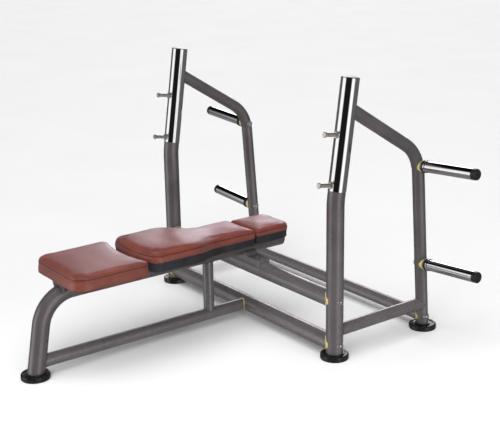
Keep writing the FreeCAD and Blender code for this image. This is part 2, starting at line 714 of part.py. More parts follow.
def plate_horn(name, side, sign, where, post_outer):
    """A plate horn: painted stub, rubber ring, chrome sleeve with flange, cap, bolt and screw."""
    post_hole = bolt_hole("small_tube", where)
    stub = cylinder("horn_stub_d / 2", "stub_end", **where)
    seat = cylinder("horn_stub_d / 2 + gasket_lip", "small_tube / 2 + gasket", **where)
    gasket_bore = cylinder("horn_stub_d / 2 - wall - gasket_inner", "cutter", **where)
    gasket_ring = cut(seat, post_outer, gasket_bore)
    GASKETS.append(gasket_ring)
    node(cut(stub, post_outer, post_hole, gasket_ring), f"{name}_stub_{side}")

    ring = turned("Bumper", [
        ("(bolt_d + bolt_play) / 2", "stub_end"),
        ("bumper_d / 2 - bumper_round", "stub_end", "bumper_round"),
        ("bumper_d / 2", "stub_end + bumper_round"),
        ("bumper_d / 2", "bumper_end - bumper_round", "bumper_round"),
        ("bumper_d / 2 - bumper_round", "bumper_end"),
        ("(bolt_d + bolt_play) / 2", "bumper_end"),
    ])
    BUMPERS.append(place(ring, **where))

    bore = "horn_d / 2 - horn_wall"
    sleeve = turned("HornSleeve", [
        ("bolt_d / 2", "bumper_end"),
        ("flange_d / 2", "bumper_end"),
        ("flange_d / 2", "flange_end - flange_chamfer"),
        ("flange_d / 2 - flange_chamfer", "flange_end"),
        ("horn_d / 2", "flange_end"),
        ("horn_d / 2", "horn_end"),
        (bore, "horn_end"),
        (bore, "flange_end + horn_root"),
        ("bolt_d / 2", "flange_end + horn_root"),
    ], "YZ_Plane")
    in_flange = shifted(where, "(bumper_end + flange_end) / 2")
    upwards = dict(in_flange, angle=f"{where['angle']} - {sign} * 90")
    screw_place = shifted(upwards, "flange_d / 2 - set_screw_depth")
    screw = cylinder("set_screw_d / 2", "set_screw_depth + set_screw_rise", **screw_place)
    SET_SCREWS.append(screw)
    node(cut(place(sleeve, **where), screw), f"{name}_sleeve_{side}")

    tip = "horn_end + horn_cap_length"
    cap = turned("HornCap", [
        ("0", "horn_end - horn_cap_stem"),
        (f"{bore} - stem_play", "horn_end - horn_cap_stem"),
        (f"{bore} - stem_play", "horn_end"),
        ("horn_d / 2", "horn_end"),
        ("horn_d / 2", f"{tip} - horn_cap_round", "horn_cap_round"),
        ("horn_d / 2 - horn_cap_round", tip),
        ("0", tip),
    ])
    node(place(cap, **where), f"{name}_cap_{side}")

    bolt_tip = "flange_end + horn_root + bolt_past_plug"
    domed_bolt("small_tube / 2 + washer_height", bolt_tip, where)
    saddle_washer(post_outer, post_hole, "small_tube", where)


for side, sign in SIDES:
    side_frame(side, sign)


# ---------------------------------------------------------------------------------------------
# Crossbars
# ---------------------------------------------------------------------------------------------
def left_end(y, height):
    """Where a crossbar starts on the left upright's axis, pointing to the right one's."""
    return {"x": upright_x(-1), "y": y, "z": height, "axis": Y_AXIS, "angle": "90"}


saddle_bolt_holes = []
saddle_bolts = []
saddle_top = "beam_height - big_tube / 2"
for distance in ("inner_saddle_bolt", "outer_saddle_bolt"):
    for sign in (-1, 1):
        where = {"x": f"{sign} * {distance}", "y": "upright_y", "z": saddle_top}
        tip_place = shifted(where, "-1 * saddle_bolt_length")
        saddle_bolt_holes.append(cylinder("saddle_bolt_d / 2", "cutter", **tip_place))
        bolt = turned("SaddleBolt", [
            ("0", "-1 * saddle_bolt_length"),
            ("saddle_bolt_d / 2", "-1 * saddle_bolt_length"),
            ("saddle_bolt_d / 2", "0"),
            ("saddle_head_d / 2", "0"),
            ("saddle_head_d / 2", "saddle_head_height / 2"),
            ("(saddle_head_d - saddle_head_height) / 2", "saddle_head_height"),
            ("0", "saddle_head_height"),
        ])
        saddle_bolts.append(place(bolt, **where))

upper_bar_place = left_end("upright_y", "upper_bar_height")
upper_bar = straight_tube("big_tube", "post_gap", **upper_bar_place)
node(cut(upper_bar, *front_bar_tools["upper_bar_height"], *saddle_bolt_holes), "upper_crossbar")

lower_bar_place = left_end("upright_y", "lower_bar_height")
lower_bar = straight_tube("big_tube", "post_gap", **lower_bar_place)
beam_joint = {"x": "0", "y": "upright_y", "z": "lower_bar_height", "axis": X_AXIS, "angle": "90"}
beam_cope, beam_hole = joint("small_tube", "big_tube", dict(lower_bar_place, x="-1 * joint_reach"),
                             beam_joint)
node(cut(lower_bar, *front_bar_tools["lower_bar_height"], beam_hole), "lower_crossbar")

rear_bar_y = "foot_span / 2 - rear_bar_height * tan(post_lean)"
rear_bar = straight_tube("small_tube", "post_gap", **left_end(rear_bar_y, "rear_bar_height"))
node(cut(rear_bar, *rear_bar_tools), "rear_crossbar")


# ---------------------------------------------------------------------------------------------
# Bench frame
# ---------------------------------------------------------------------------------------------
front_y = "-1 * foot_span / 2"
vertex_y = f"({front_y} + beam_height * tan(leg_lean))"
beam_outer, beam = bent_tube("0", front_y, "leg_lean", "beam_height / cos(leg_lean)", "90",
                             f"beam_end_y - {vertex_y}", "beam_bend_radius", "big_tube")
node(beam, "bench_beam")

end_cap = turned("BeamEndCap", [
    ("0", "-1 * cap_stem"),
    (BIG_STEM, "-1 * cap_stem"),
    (BIG_STEM, "0"),
    ("big_tube / 2", "0"),
    ("big_tube / 2", "cap_rim"),
    ("big_tube / 2 - cap_rim", "2 * cap_rim"),
    ("0", "2 * cap_rim"),
])
node(place(end_cap, y="beam_end_y", z="beam_height", axis=X_AXIS, angle="-90"), "beam_end_cap")

lower_beam = straight_tube("small_tube", f"upright_y - {front_y}", y=front_y,
                           z="lower_bar_height", axis=X_AXIS, angle="-90")
node(cut(lower_beam, beam_outer, beam_cope), "lower_beam")

lower_beam_outer = cylinder("small_tube / 2", "2 * joint_reach", y="strut_y - joint_reach",
                            z="lower_bar_height", axis=X_AXIS, angle="-90")
strut = straight_tube("strut_tube", "beam_height - lower_bar_height", y="strut_y",
                      z="lower_bar_height")
node(cut(strut, beam_outer, lower_beam_outer), "bench_strut")

leg_start = {"x": "0", "y": f"{front_y} + foot_floor * tan(leg_lean)", "z": "foot_floor",
             "axis": X_AXIS, "angle": "-1 * leg_lean"}
foot("bench_foot", "0", front_y, "big_tube", leg_start)

saddle_bottom = "upper_bar_height + saddle_foot"
saddle, _ = extruded("Saddle", "XZ_Plane", [
    ("-1 * saddle_length / 2", saddle_bottom),
    ("saddle_length / 2", saddle_bottom),
    ("saddle_length / 2", saddle_top),
    ("cradle_length / 2", saddle_top),
    ("cradle_length / 2 - cradle_slope", f"{saddle_top} + cradle_rise"),
    ("-1 * cradle_length / 2 + cradle_slope", f"{saddle_top} + cradle_rise"),
    ("-1 * cradle_length / 2", saddle_top),
    ("-1 * saddle_length / 2", saddle_top),
], "saddle_width", midplane=True)
place(saddle, y="upright_y")
upper_bar_outer = cylinder("big_tube / 2", "post_gap", **upper_bar_place)
node(cut(saddle, upper_bar_outer, beam_outer, *saddle_bolt_holes), "beam_saddle")
group("saddle_bolts", saddle_bolts)

nut_bar = doc.addObject("Part::Box", "NutBar")
nut_bar_half = "outer_saddle_bolt + nut_bar_margin"
bind(nut_bar, Length=f"2 * ({nut_bar_half})", Width="nut_bar_width", Height="nut_bar_height")
inner_top = "upper_bar_height + sqrt((big_tube / 2 - wall) ^ 2 - nut_bar_width ^ 2 / 4)"
place(nut_bar, x=f"-1 * ({nut_bar_half})", y="upright_y - nut_bar_width / 2",
      z=f"{inner_top} - nut_bar_height")
node(cut(nut_bar, *saddle_bolt_holes), "saddle_nut_bar")

support, _ = extruded("SeatSupport", "XZ_Plane", [
    ("-1 * big_tube / 2", "beam_height"),
    ("big_tube / 2", "beam_height"),
    ("big_tube / 2 + support_flare", "plate_top"),
    ("-1 * big_tube / 2 - support_flare", "plate_top"),
], "plate_height")
place(support, y="support_y + plate_height")
flange = doc.addObject("Part::Box", "Flange")
flange_half = "big_tube / 2 + flange_overhang"
bind(flange, Length=f"2 * ({flange_half})", Width="support_flange", Height="plate_height")
place(flange, x=f"-1 * ({flange_half})", y="support_y", z="plate_top - plate_height")
bracket = doc.addObject("Part::Fuse", "Bracket")
bracket.Base = support
bracket.Tool = flange


# ---------------------------------------------------------------------------------------------
# Pads: cross plates, boards, cushions and their screws
# ---------------------------------------------------------------------------------------------
PLATE_ROWS = {
    "seat": (("support", "support_y + support_flange / 2"), ("plate", "seat_plate_y")),
    "back": (("plate", "back_front_plate_y"), ("plate", "back_rear_plate_y")),
    "head": (("plate", "head_plate_y"),),
}
screws = []
tee_nuts = []
plates = []
board_tools = {}
support_tools = []
for pad_name, rows in PLATE_ROWS.items():
    board_tools[pad_name] = []
    for kind, y in rows:
        row_holes = []
        for sign in (-1, 1):
            x = f"{sign} * screw_x"
            row_holes.append(cylinder("(screw_d + bolt_play) / 2", "cutter", x=x, y=y,
                                      z="plate_top - cutter / 2"))
            screw = turned("PadScrew", [
                ("0", "-1 * screw_head_height"),
                ("screw_head_d / 2 - screw_bevel", "-1 * screw_head_height"),
                ("screw_head_d / 2", "screw_bevel - screw_head_height"),
                ("screw_head_d / 2", "0"),
                ("screw_d / 2", "0"),
                ("screw_d / 2", "plate_height + tee_sleeve"),
                ("0", "plate_height + tee_sleeve"),
            ])
            screws.append(place(screw, x=x, y=y, z="plate_top - plate_height"))
            sleeve = "screw_d / 2 + tee_wall"
            shoulder = "tee_sleeve - tee_wall"
            tee = turned("TeeNut", [
                ("screw_d / 2", "0"),
                (sleeve, "0"),
                (sleeve, shoulder),
                ("tee_d / 2", shoulder),
                ("tee_d / 2", "tee_sleeve"),
                ("screw_d / 2", "tee_sleeve"),
            ])
            tee_nuts.append(place(tee, x=x, y=y, z="plate_top"))
            pocket = turned("TeePocket", [
                ("0", "-1 * cut_past"),
                (sleeve, "-1 * cut_past"),
                (sleeve, shoulder),
                ("tee_d / 2", shoulder),
                ("tee_d / 2", "back_base_height + cut_past"),
                ("0", "back_base_height + cut_past"),
            ])
            board_tools[pad_name].append(place(pocket, x=x, y=y, z="plate_top"))
        if kind == "support":
            support_tools = row_holes
            continue
        plate = doc.addObject("Part::Box", "Plate")
        bind(plate, Length="2 * plate_half", Width="plate_width", Height="plate_height")
        place(plate, x="-1 * plate_half", y=f"{y} - plate_width / 2", z="plate_top - plate_height")
        plates.append(cut(plate, beam_outer, *row_holes))
node(cut(bracket, beam_outer, *support_tools), "seat_support")
group("pad_cross_plates", plates)
group("pad_screws", screws)
group("tee_nuts", tee_nuts)


def seat_outline(inset):
    """The seat seen from above: round front corners and a hollow rear edge."""
    half = f"(seat_half - {inset})"
    front = f"(seat_front + {inset})"
    rear = f"(seat_rear - {inset})"
    corner = f"(seat_corner - {inset})"
    small = "seat_rear_corner"
    chord = f"({half} - {small})"
    hollow = f"-1 * ({chord} ^ 2 + seat_hollow ^ 2) / (2 * seat_hollow)"
    return [
        (f"-1 * {half} + {corner}", front),
        (f"{half} - {corner}", front, corner),
        (half, f"{front} + {corner}"),
        (half, f"{rear} - {small}", small),
        (f"{half} - {small}", rear, hollow),
        (f"-1 * {half} + {small}", rear, small),
        (f"-1 * {half}", f"{rear} - {small}"),
        (f"-1 * {half}", f"{front} + {corner}", corner),
    ]


def back_outline(inset):
    """The back pad seen from above: bowed front, wide shoulders and a narrow neck."""
    half = f"(back_half - {inset})"
    neck = f"(neck_half - {inset})"
    front = f"(back_front + {inset})"
    rear = f"(back_rear - {inset})"
    corner = f"(back_corner - {inset})"
    small = "neck_corner"
    # the corner arcs touch the bowed front edge without a kink
    bow = f"(back_bow - {inset})"
    reach = f"sqrt(({bow} - {corner}) ^ 2 - ({half} - {corner}) ^ 2)"
    grown = f"({bow} / ({bow} - {corner}))"
    bow_x = f"({half} - {corner}) * {grown}"
    bow_y = f"{front} + {bow} - {reach} * {grown}"
    corner_y = f"{front} + {bow} - {reach}"
    across = f"(({half} - {neck}) / 2)"
    along = "((taper_end - taper_start) / 2)"
    sweep = f"({across} ^ 2 + {along} ^ 2) / (2 * {across})"
    middle_x = f"({half} + {neck}) / 2"
    middle_y = "(taper_start + taper_end) / 2"
    return [
        (f"-1 * {bow_x}", bow_y, bow),
        (bow_x, bow_y, corner),
        (half, corner_y),
        (half, "taper_start", sweep),
        (middle_x, middle_y, f"-1 * {sweep}"),
        (neck, "taper_end"),
        (neck, f"{rear} - {small}", small),
        (f"{neck} - {small}", rear),
        (f"-1 * {neck} + {small}", rear, small),
        (f"-1 * {neck}", f"{rear} - {small}"),
        (f"-1 * {neck}", "taper_end", f"-1 * {sweep}"),
        (f"-1 * {middle_x}", middle_y, sweep),
        (f"-1 * {half}", "taper_start"),
        (f"-1 * {half}", corner_y, corner),
    ]


def head_outline(inset):
    """The head pad seen from above: square to the gap and round at the rear."""
    half = f"(head_half - {inset})"
    front = f"(back_rear + pad_gap + {inset})"
    rear = f"(head_rear - {inset})"
    corner = f"(head_corner - {inset})"
    small = "neck_corner"
    return [
        (f"-1 * {half} + {small}", front),
        (f"{half} - {small}", front, small),
        (half, f"{front} + {small}"),
        (half, f"{rear} - {corner}", corner),
        (f"{half} - {corner}", rear),
        (f"-1 * {half} + {corner}", rear, corner),
        (f"-1 * {half}", f"{rear} - {corner}"),
        (f"-1 * {half}", f"{front} + {small}", small),
    ]


seat_board, _ = extruded("SeatBoard", "XY_Plane", seat_outline("board_inset"), "board_height")
place(seat_board, z="plate_top")
node(cut(seat_board, *board_tools["seat"]), "seat_board")

seat, seat_pad = extruded("Seat", "XY_Plane", seat_outline("0"), "seat_top - seat_bottom")
round_top(seat, seat_pad, "pad_round")
place(seat, z="seat_bottom")
recess, _ = extruded("BoardRecess", "XY_Plane", seat_outline("(board_inset - board_play)"),
                     "board_height")
place(recess, z="plate_top")
node(cut(seat, recess), "seat_cushion")

for pad_name, shape, label in (("back", back_outline, "Back"), ("head", head_outline, "Head")):
    base_height = f"{pad_name}_base_height"
    base, _ = extruded(f"{label}Base", "XY_Plane", shape("base_inset"), base_height)
    place(base, z="plate_top")
    node(cut(base, *board_tools[pad_name]), f"{pad_name}_pad_base")
    height = f"{pad_name}_top - plate_top - {base_height}"
    cushion, cushion_pad = extruded(f"{label}Cushion", "XY_Plane", shape("0"), height)
    round_top(cushion, cushion_pad, "pad_round")
    place(cushion, z=f"plate_top + {base_height}")
    node(cushion, f"{pad_name}_cushion")

group("saddle_gaskets", GASKETS)
group("threaded_plugs", PLUGS)
group("frame_bolts", BOLTS)
group("frame_washers", WASHERS)
group("bar_rest_nuts", PEG_NUTS)
group("horn_set_screws", SET_SCREWS)
group("horn_bumper_rings", BUMPERS)

# ---------------------------------------------------------------------------------------------
# Checks and export
# ---------------------------------------------------------------------------------------------
doc.recompute()
for thing in doc.Objects:
    if "Invalid" in thing.State or "Error" in thing.State:
        raise SystemExit(f"{thing.Name} ({thing.Label}) failed: {thing.State}")
os.makedirs("parts", exist_ok=True)
for thing in NODES:
    if thing.Shape.isNull() or not thing.Shape.isValid():
        raise SystemExit(f"{thing.Label} has no valid shape")
    thing.Shape.exportStep(f"parts/{thing.Label}.step")
    solids = len(thing.Shape.Solids)
    print(f"{thing.Label}: {solids} solid(s), {thing.Shape.Volume / 1000:.1f} cm3")
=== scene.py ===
"""Olympic bench press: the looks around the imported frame.

Lengths are in metres in the frame's own axes: +Z up from the floor, +Y from the seat end to the
head end, +X along the bar.  The three cushions and the two moulded pad bases replace their plain
solids, and welts, stitches and weld beads are added.  Every other piece keeps its shape and gets
a material.
"""
import bisect
import json
import math

import bmesh
import bpy
from mathutils import Matrix, Vector, noise
from mathutils.bvhtree import BVHTree
from mathutils.kdtree import KDTree


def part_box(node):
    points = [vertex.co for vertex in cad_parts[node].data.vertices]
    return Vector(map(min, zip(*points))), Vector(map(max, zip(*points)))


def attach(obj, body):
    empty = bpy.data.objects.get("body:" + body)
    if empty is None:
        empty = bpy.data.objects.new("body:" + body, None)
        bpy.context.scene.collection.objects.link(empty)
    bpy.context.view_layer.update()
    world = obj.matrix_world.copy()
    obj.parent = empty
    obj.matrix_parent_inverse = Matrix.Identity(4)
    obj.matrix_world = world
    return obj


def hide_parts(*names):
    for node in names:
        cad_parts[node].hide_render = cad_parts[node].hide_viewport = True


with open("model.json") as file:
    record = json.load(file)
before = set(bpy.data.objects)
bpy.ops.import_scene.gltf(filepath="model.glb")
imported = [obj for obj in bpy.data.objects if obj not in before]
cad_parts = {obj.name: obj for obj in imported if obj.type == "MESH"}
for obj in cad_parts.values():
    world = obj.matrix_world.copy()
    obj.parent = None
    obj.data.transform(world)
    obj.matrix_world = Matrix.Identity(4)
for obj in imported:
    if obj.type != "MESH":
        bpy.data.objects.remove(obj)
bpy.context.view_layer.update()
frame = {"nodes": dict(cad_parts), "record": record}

MM = 0.001
TINY = 1e-9
NODES = frame["nodes"]
SIDES = ("left", "right")
scene = bpy.context.scene


# ---------------------------------------------------------------------------------------------
# Shader helpers
# ---------------------------------------------------------------------------------------------
def new_material(name):
    """A material with its tree, its principled shader and the frame's coordinates."""
    material = bpy.data.materials.new(name)
    material.use_nodes = True
    tree = material.node_tree
    shader = tree.nodes["Principled BSDF"]
    place = tree.nodes.new("ShaderNodeTexCoord").outputs["Object"]
    return material, tree, shader, place


def stretched(tree, place, scale):
    """The coordinates scaled along each axis."""
    mapping = tree.nodes.new("ShaderNodeMapping")
    mapping.inputs["Scale"].default_value = scale
    tree.links.new(place, mapping.inputs["Vector"])
    return mapping.outputs["Vector"]


def noise_field(tree, place, scale, detail=3.0, roughness=0.5, distortion=0.0):
    """Smooth noise, from 0 to 1."""
    field = tree.nodes.new("ShaderNodeTexNoise")
    field.inputs["Scale"].default_value = scale
    field.inputs["Detail"].default_value = detail
    field.inputs["Roughness"].default_value = roughness
    field.inputs["Distortion"].default_value = distortion
    tree.links.new(place, field.inputs["Vector"])
    return field.outputs["Fac"]


def cells(tree, place, scale, feature="F1"):
    """Distances in a cell pattern."""
    field = tree.nodes.new("ShaderNodeTexVoronoi")
    field.feature = feature
    field.inputs["Scale"].default_value = scale
    tree.links.new(place, field.inputs["Vector"])
    return field.outputs["Distance"]


def ramp(tree, source, stops):
    """Colours or greys along a value: stops are (position, colour)."""
    node = tree.nodes.new("ShaderNodeValToRGB")
    elements = node.color_ramp.elements
    while len(elements) < len(stops):
        elements.new(0.5)
    for element, (position, colour) in zip(elements, stops):
        element.position = position
        element.color = grey(colour) if isinstance(colour, (int, float)) else (*colour, 1.0)
    tree.links.new(source, node.inputs["Fac"])
    return node.outputs["Color"]


def grey(level):
    """A grey of that level."""
    return (level, level, level, 1.0)


def remap(tree, source, low, high, to_low, to_high):
    """A value moved from one range to another, held at its ends."""
    node = tree.nodes.new("ShaderNodeMapRange")
    limits = (("From Min", low), ("From Max", high), ("To Min", to_low), ("To Max", to_high))
    for name, number in limits:
        node.inputs[name].default_value = number
    tree.links.new(source, node.inputs["Value"])
    return node.outputs["Result"]


def maths(tree, operation, first, second):
    """One operation on two values, each a socket or a number."""
    node = tree.nodes.new("ShaderNodeMath")
    node.operation = operation
    for socket, source in zip(node.inputs, (first, second)):
        if isinstance(source, (int, float)):
            socket.default_value = source
        else:
            tree.links.new(source, socket)
    return node.outputs["Value"]


def mixed(tree, factor, first, second, blend="MIX"):
    """Two colours mixed; the factor is a socket or a number."""
    node = tree.nodes.new("ShaderNodeMix")
    node.data_type = "RGBA"
    node.blend_type = blend
    sources = ((node.inputs[0], factor), (node.inputs[6], first), (node.inputs[7], second))
    for socket, source in sources:
        if isinstance(source, (int, float)):
            socket.default_value = source
        elif isinstance(source, tuple):
            socket.default_value = (*source, 1.0)
        else:
            tree.links.new(source, socket)
    return node.outputs[2]


def bump(tree, height, distance, strength=1.0, under=None):
    """A bump of that height in metres, laid over another bump if one is given."""
    node = tree.nodes.new("ShaderNodeBump")
    node.inputs["Distance"].default_value = distance
    node.inputs["Strength"].default_value = strength
    tree.links.new(height, node.inputs["Height"])
    if under is not None:
        tree.links.new(under, node.inputs["Normal"])
    return node.outputs["Normal"]


def pointiness(tree):
    """Above a half on outer edges and below it in creases."""
    return tree.nodes.new("ShaderNodeNewGeometry").outputs["Pointiness"]


def finish_shader(tree, shader, colour=None, roughness=None, normal=None, **fixed):
    """Links the varying inputs of a shader and sets the uniform ones on its own sockets."""
    for name, source in (("Base Color", colour), ("Roughness", roughness), ("Normal", normal)):
        if source is not None:
            tree.links.new(source, shader.inputs[name])
    for name, number in fixed.items():
        shader.inputs[name.replace("_", " ")].default_value = number


# ---------------------------------------------------------------------------------------------
# Materials
# ---------------------------------------------------------------------------------------------
def frame_paint():
    """Gunmetal powder coat: metallic flake, orange peel and paint thinned on the edges."""
    material, tree, shader, place = new_material("gunmetal_paint")
    flake = noise_field(tree, place, 2600.0, detail=1.0)
    cloud = noise_field(tree, place, 9.0, detail=4.0)
    base = ramp(tree, cloud, ((0.3, (0.118, 0.103, 0.108)), (0.7, (0.158, 0.139, 0.146))))
    sparkle = ramp(tree, flake, ((0.52, 0.0), (0.72, 0.5)))
    colour = mixed(tree, sparkle, base, (0.33, 0.305, 0.315))
    edge = remap(tree, pointiness(tree), 0.56, 0.66, 0.0, 1.0)
    worn = maths(tree, "MULTIPLY", edge, noise_field(tree, place, 60.0, detail=5.0))
    colour = mixed(tree, worn, colour, (0.3, 0.285, 0.28))
    peel = noise_field(tree, place, 420.0, detail=2.0)
    handling = noise_field(tree, place, 14.0, detail=5.0, roughness=0.6)
    roughness = remap(tree, handling, 0.3, 0.7, 0.27, 0.4)
    normal = bump(tree, peel, 0.12 * MM, 0.35)
    finish_shader(tree, shader, colour, roughness, normal, Metallic=0.52, Coat_Weight=0.18,
                  Coat_Roughness=0.2, Specular_IOR_Level=0.45)
    return material


def chrome():
    """Bright plating with faint smudges and hairlines."""
    material, tree, shader, place = new_material("chrome_plating")
    smudge = noise_field(tree, place, 22.0, detail=6.0, roughness=0.62)
    hairs = noise_field(tree, stretched(tree, place, (1.0, 1.0, 0.04)), 900.0, detail=2.0)
    roughness = remap(tree, smudge, 0.35, 0.75, 0.035, 0.11)
    colour = ramp(tree, smudge, ((0.25, (0.80, 0.80, 0.82)), (0.75, (0.72, 0.72, 0.74))))
    normal = bump(tree, hairs, 0.02 * MM, 0.3)
    finish_shader(tree, shader, colour, roughness, normal, Metallic=1.0)
    return material


def nickel():
    """Satin plating of the bar rests: warm, with rub marks where the bar lands."""
    material, tree, shader, place = new_material("satin_nickel")
    rubbed = noise_field(tree, stretched(tree, place, (0.15, 1.0, 1.0)), 260.0, detail=4.0)
    colour = ramp(tree, rubbed, ((0.3, (0.74, 0.68, 0.62)), (0.7, (0.86, 0.82, 0.77))))
    roughness = remap(tree, rubbed, 0.3, 0.7, 0.2, 0.36)
    normal = bump(tree, rubbed, 0.05 * MM, 0.4)
    finish_shader(tree, shader, colour, roughness, normal, Metallic=0.92)
    return material


def zinc():
    """Bright zinc of the bolts, washers and nuts."""
    material, tree, shader, place = new_material("zinc_plating")
    bloom = cells(tree, place, 420.0)
    tint = noise_field(tree, place, 120.0, detail=3.0)
    colour = ramp(tree, tint, ((0.3, (0.62, 0.62, 0.64)), (0.7, (0.82, 0.81, 0.80))))
    roughness = remap(tree, bloom, 0.0, 0.9, 0.22, 0.38)
    normal = bump(tree, tint, 0.05 * MM, 0.4)
    finish_shader(tree, shader, colour, roughness, normal, Metallic=0.95)
    return material


def rubber():
    """Moulded black rubber with a fine grain and dust in the low places."""
    material, tree, shader, place = new_material("black_rubber")
    grain = noise_field(tree, place, 1500.0, detail=3.0)
    dust = noise_field(tree, place, 35.0, detail=5.0, roughness=0.65)
    colour = ramp(tree, dust, ((0.4, (0.006, 0.006, 0.006)), (0.8, (0.018, 0.017, 0.017))))
    roughness = remap(tree, dust, 0.3, 0.75, 0.2, 0.4)
    normal = bump(tree, grain, 0.08 * MM, 0.5)
    finish_shader(tree, shader, colour, roughness, normal, Specular_IOR_Level=0.6)
    return material


def gloss_plastic():
    """Glossy black plastic of the caps, with fine scuffs."""
    material, tree, shader, place = new_material("gloss_black_plastic")
    scuff = noise_field(tree, stretched(tree, place, (1.0, 0.2, 1.0)), 380.0, detail=4.0)
    colour = ramp(tree, scuff, ((0.3, (0.008, 0.008, 0.009)), (0.8, (0.022, 0.022, 0.023))))
    roughness = remap(tree, scuff, 0.3, 0.8, 0.16, 0.34)
    normal = bump(tree, scuff, 0.03 * MM, 0.35)
    finish_shader(tree, shader, colour, roughness, normal, Specular_IOR_Level=0.5)
    return material


def moulded_plastic():
    """Matt black moulded plastic of the pad bases, with a leather-like texture."""
    material, tree, shader, place = new_material("textured_black_plastic")
    pebble = cells(tree, place, 620.0, "SMOOTH_F1")
    cloud = noise_field(tree, place, 16.0, detail=4.0)
    colour = ramp(tree, cloud, ((0.3, (0.016, 0.016, 0.019)), (0.7, (0.030, 0.030, 0.034))))
    roughness = remap(tree, cloud, 0.3, 0.7, 0.38, 0.52)
    normal = bump(tree, pebble, 0.18 * MM, 0.5)
    finish_shader(tree, shader, colour, roughness, normal, Specular_IOR_Level=0.5)
    return material


def gasket():
    """Pale yellow rubber of the saddle gaskets."""
    material, tree, shader, place = new_material("yellow_gasket")
    mottle = noise_field(tree, place, 160.0, detail=4.0)
    colour = ramp(tree, mottle, ((0.3, (0.50, 0.38, 0.10)), (0.75, (0.78, 0.68, 0.30))))
    roughness = remap(tree, mottle, 0.3, 0.7, 0.4, 0.6)
    finish_shader(tree, shader, colour, roughness, bump(tree, mottle, 0.1 * MM, 0.5))
    return material


def plywood():
    """Dark stained plywood of the seat board: grain on its faces and layers on its edge."""
    material, tree, shader, place = new_material("stained_plywood")
    along = stretched(tree, place, (1.0, 0.06, 1.0))
    grain = noise_field(tree, along, 150.0, detail=6.0, distortion=0.6)
    layers = noise_field(tree, stretched(tree, place, (0.02, 0.02, 1.0)), 420.0, detail=0.0)
    colour = ramp(tree, grain, ((0.3, (0.055, 0.036, 0.024)), (0.7, (0.105, 0.072, 0.048))))
    colour = mixed(tree, remap(tree, layers, 0.42, 0.58, 0.0, 0.45), colour, (0.030, 0.020, 0.014))
    roughness = remap(tree, grain, 0.2, 0.8, 0.55, 0.75)
    finish_shader(tree, shader, colour, roughness, bump(tree, grain, 0.15 * MM, 0.6))
    return material


def leather(name, deep, light):
    """Red-brown vinyl leather: pebbled grain, fine creases, painted shade in the seams' creases and a
    dusty sheen.
    """
    material, tree, shader, place = new_material(name)
    pebble = cells(tree, place, 560.0, "SMOOTH_F1")
    crease = cells(tree, place, 190.0, "DISTANCE_TO_EDGE")
    pores = noise_field(tree, place, 1900.0, detail=2.0)
    tone = noise_field(tree, place, 7.0, detail=5.0, roughness=0.6)
    mottle = noise_field(tree, place, 90.0, detail=4.0)
    colour = ramp(tree, tone, ((0.28, deep), (0.72, light)))
    darker = ramp(tree, mottle, ((0.3, 0.82), (0.7, 1.0)))
    colour = mixed(tree, 1.0, colour, darker, "MULTIPLY")
    lines = ramp(tree, crease, ((0.0, 0.72), (0.09, 1.0)))
    colour = mixed(tree, 0.6, colour, lines, "MULTIPLY")
    # painted shade: the colour is darkened in the creases along the seams, where shade falls
    seam_crease_shade = remap(tree, pointiness(tree), 0.44, 0.485, 0.85, 0.0)
    colour = mixed(tree, seam_crease_shade, colour, (0.030, 0.006, 0.005))
    rub = noise_field(tree, place, 11.0, detail=3.0)
    roughness = remap(tree, rub, 0.3, 0.7, 0.36, 0.5)
    normal = bump(tree, crease, 0.25 * MM, 0.35)
    normal = bump(tree, pebble, 0.22 * MM, 0.55, normal)
    normal = bump(tree, pores, 0.06 * MM, 0.4, normal)
    finish_shader(tree, shader, colour, roughness, normal, Specular_IOR_Level=0.5,
                  Coat_Weight=0.3, Coat_Roughness=0.3, Coat_IOR=1.5,
                  Sheen_Weight=0.1, Sheen_Roughness=0.5, Sheen_Tint=(0.86, 0.80, 0.95, 1.0))
    return material


def thread():
    """Waxed thread a little lighter than the leather."""
    material, tree, shader, place = new_material("waxed_thread")
    twist = noise_field(tree, place, 2400.0, detail=2.0)
    colour = ramp(tree, twist, ((0.3, (0.20, 0.055, 0.04)), (0.7, (0.38, 0.13, 0.095))))
    roughness = remap(tree, twist, 0.2, 0.8, 0.45, 0.65)
    finish_shader(tree, shader, colour, roughness, bump(tree, twist, 0.1 * MM, 0.6))
    return material


DEEP_BROWN = (0.158, 0.036, 0.024)
LIGHT_BROWN = (0.232, 0.058, 0.038)
LOOKS = {
    "frame_paint": frame_paint(),
    "chrome": chrome(),
    "leather": leather("red_brown_leather", DEEP_BROWN, LIGHT_BROWN),
    "plywood": plywood(),
    "pad_base_plastic": moulded_plastic(),
    "rubber": rubber(),
    "black_plastic": gloss_plastic(),
    "gasket": gasket(),
    "zinc_steel": zinc(),
}
SATIN_NICKEL = nickel()
THREAD = thread()


def dress(piece, material):
    """Gives a piece one material."""
    piece.data.materials.clear()
    piece.data.materials.append(material)


for subpart in frame["record"]["subparts"]:
    name = subpart["node"]
    dress(NODES[name], SATIN_NICKEL if "bar_rest" in name else LOOKS[subpart["material_slot"]])


# ---------------------------------------------------------------------------------------------
# Mesh helpers
# ---------------------------------------------------------------------------------------------
FORWARD = Vector((0.0, -1.0, 0.0))
BACKWARD = Vector((0.0, 1.0, 0.0))
UPWARD = Vector((0.0, 0.0, 1.0))
NEARLY_UPRIGHT = 1e-4
FEWEST_STEPS = 12
# corners of neighbouring faces that lie closer than this are the same point
SAME_POINT = 0.001 * MM


def new_piece(name, bm, slot, material=None):
    """A finished piece of the object from a bmesh."""
    mesh = bpy.data.meshes.new(name)
    bm.normal_update()
    bm.to_mesh(mesh)
    bm.free()
    mesh.shade_smooth()
    piece = bpy.data.objects.new(name, mesh)
    scene.collection.objects.link(piece)
    dress(piece, material or LOOKS[slot])
    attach(piece, "root")
    return piece


def surface_tree(*meshes):
    """A search tree over the surfaces of several meshes."""
    bm = bmesh.new()
    for mesh in meshes:
        bm.from_mesh(mesh)
    tree = BVHTree.FromBMesh(bm)
    bm.free()
    return tree


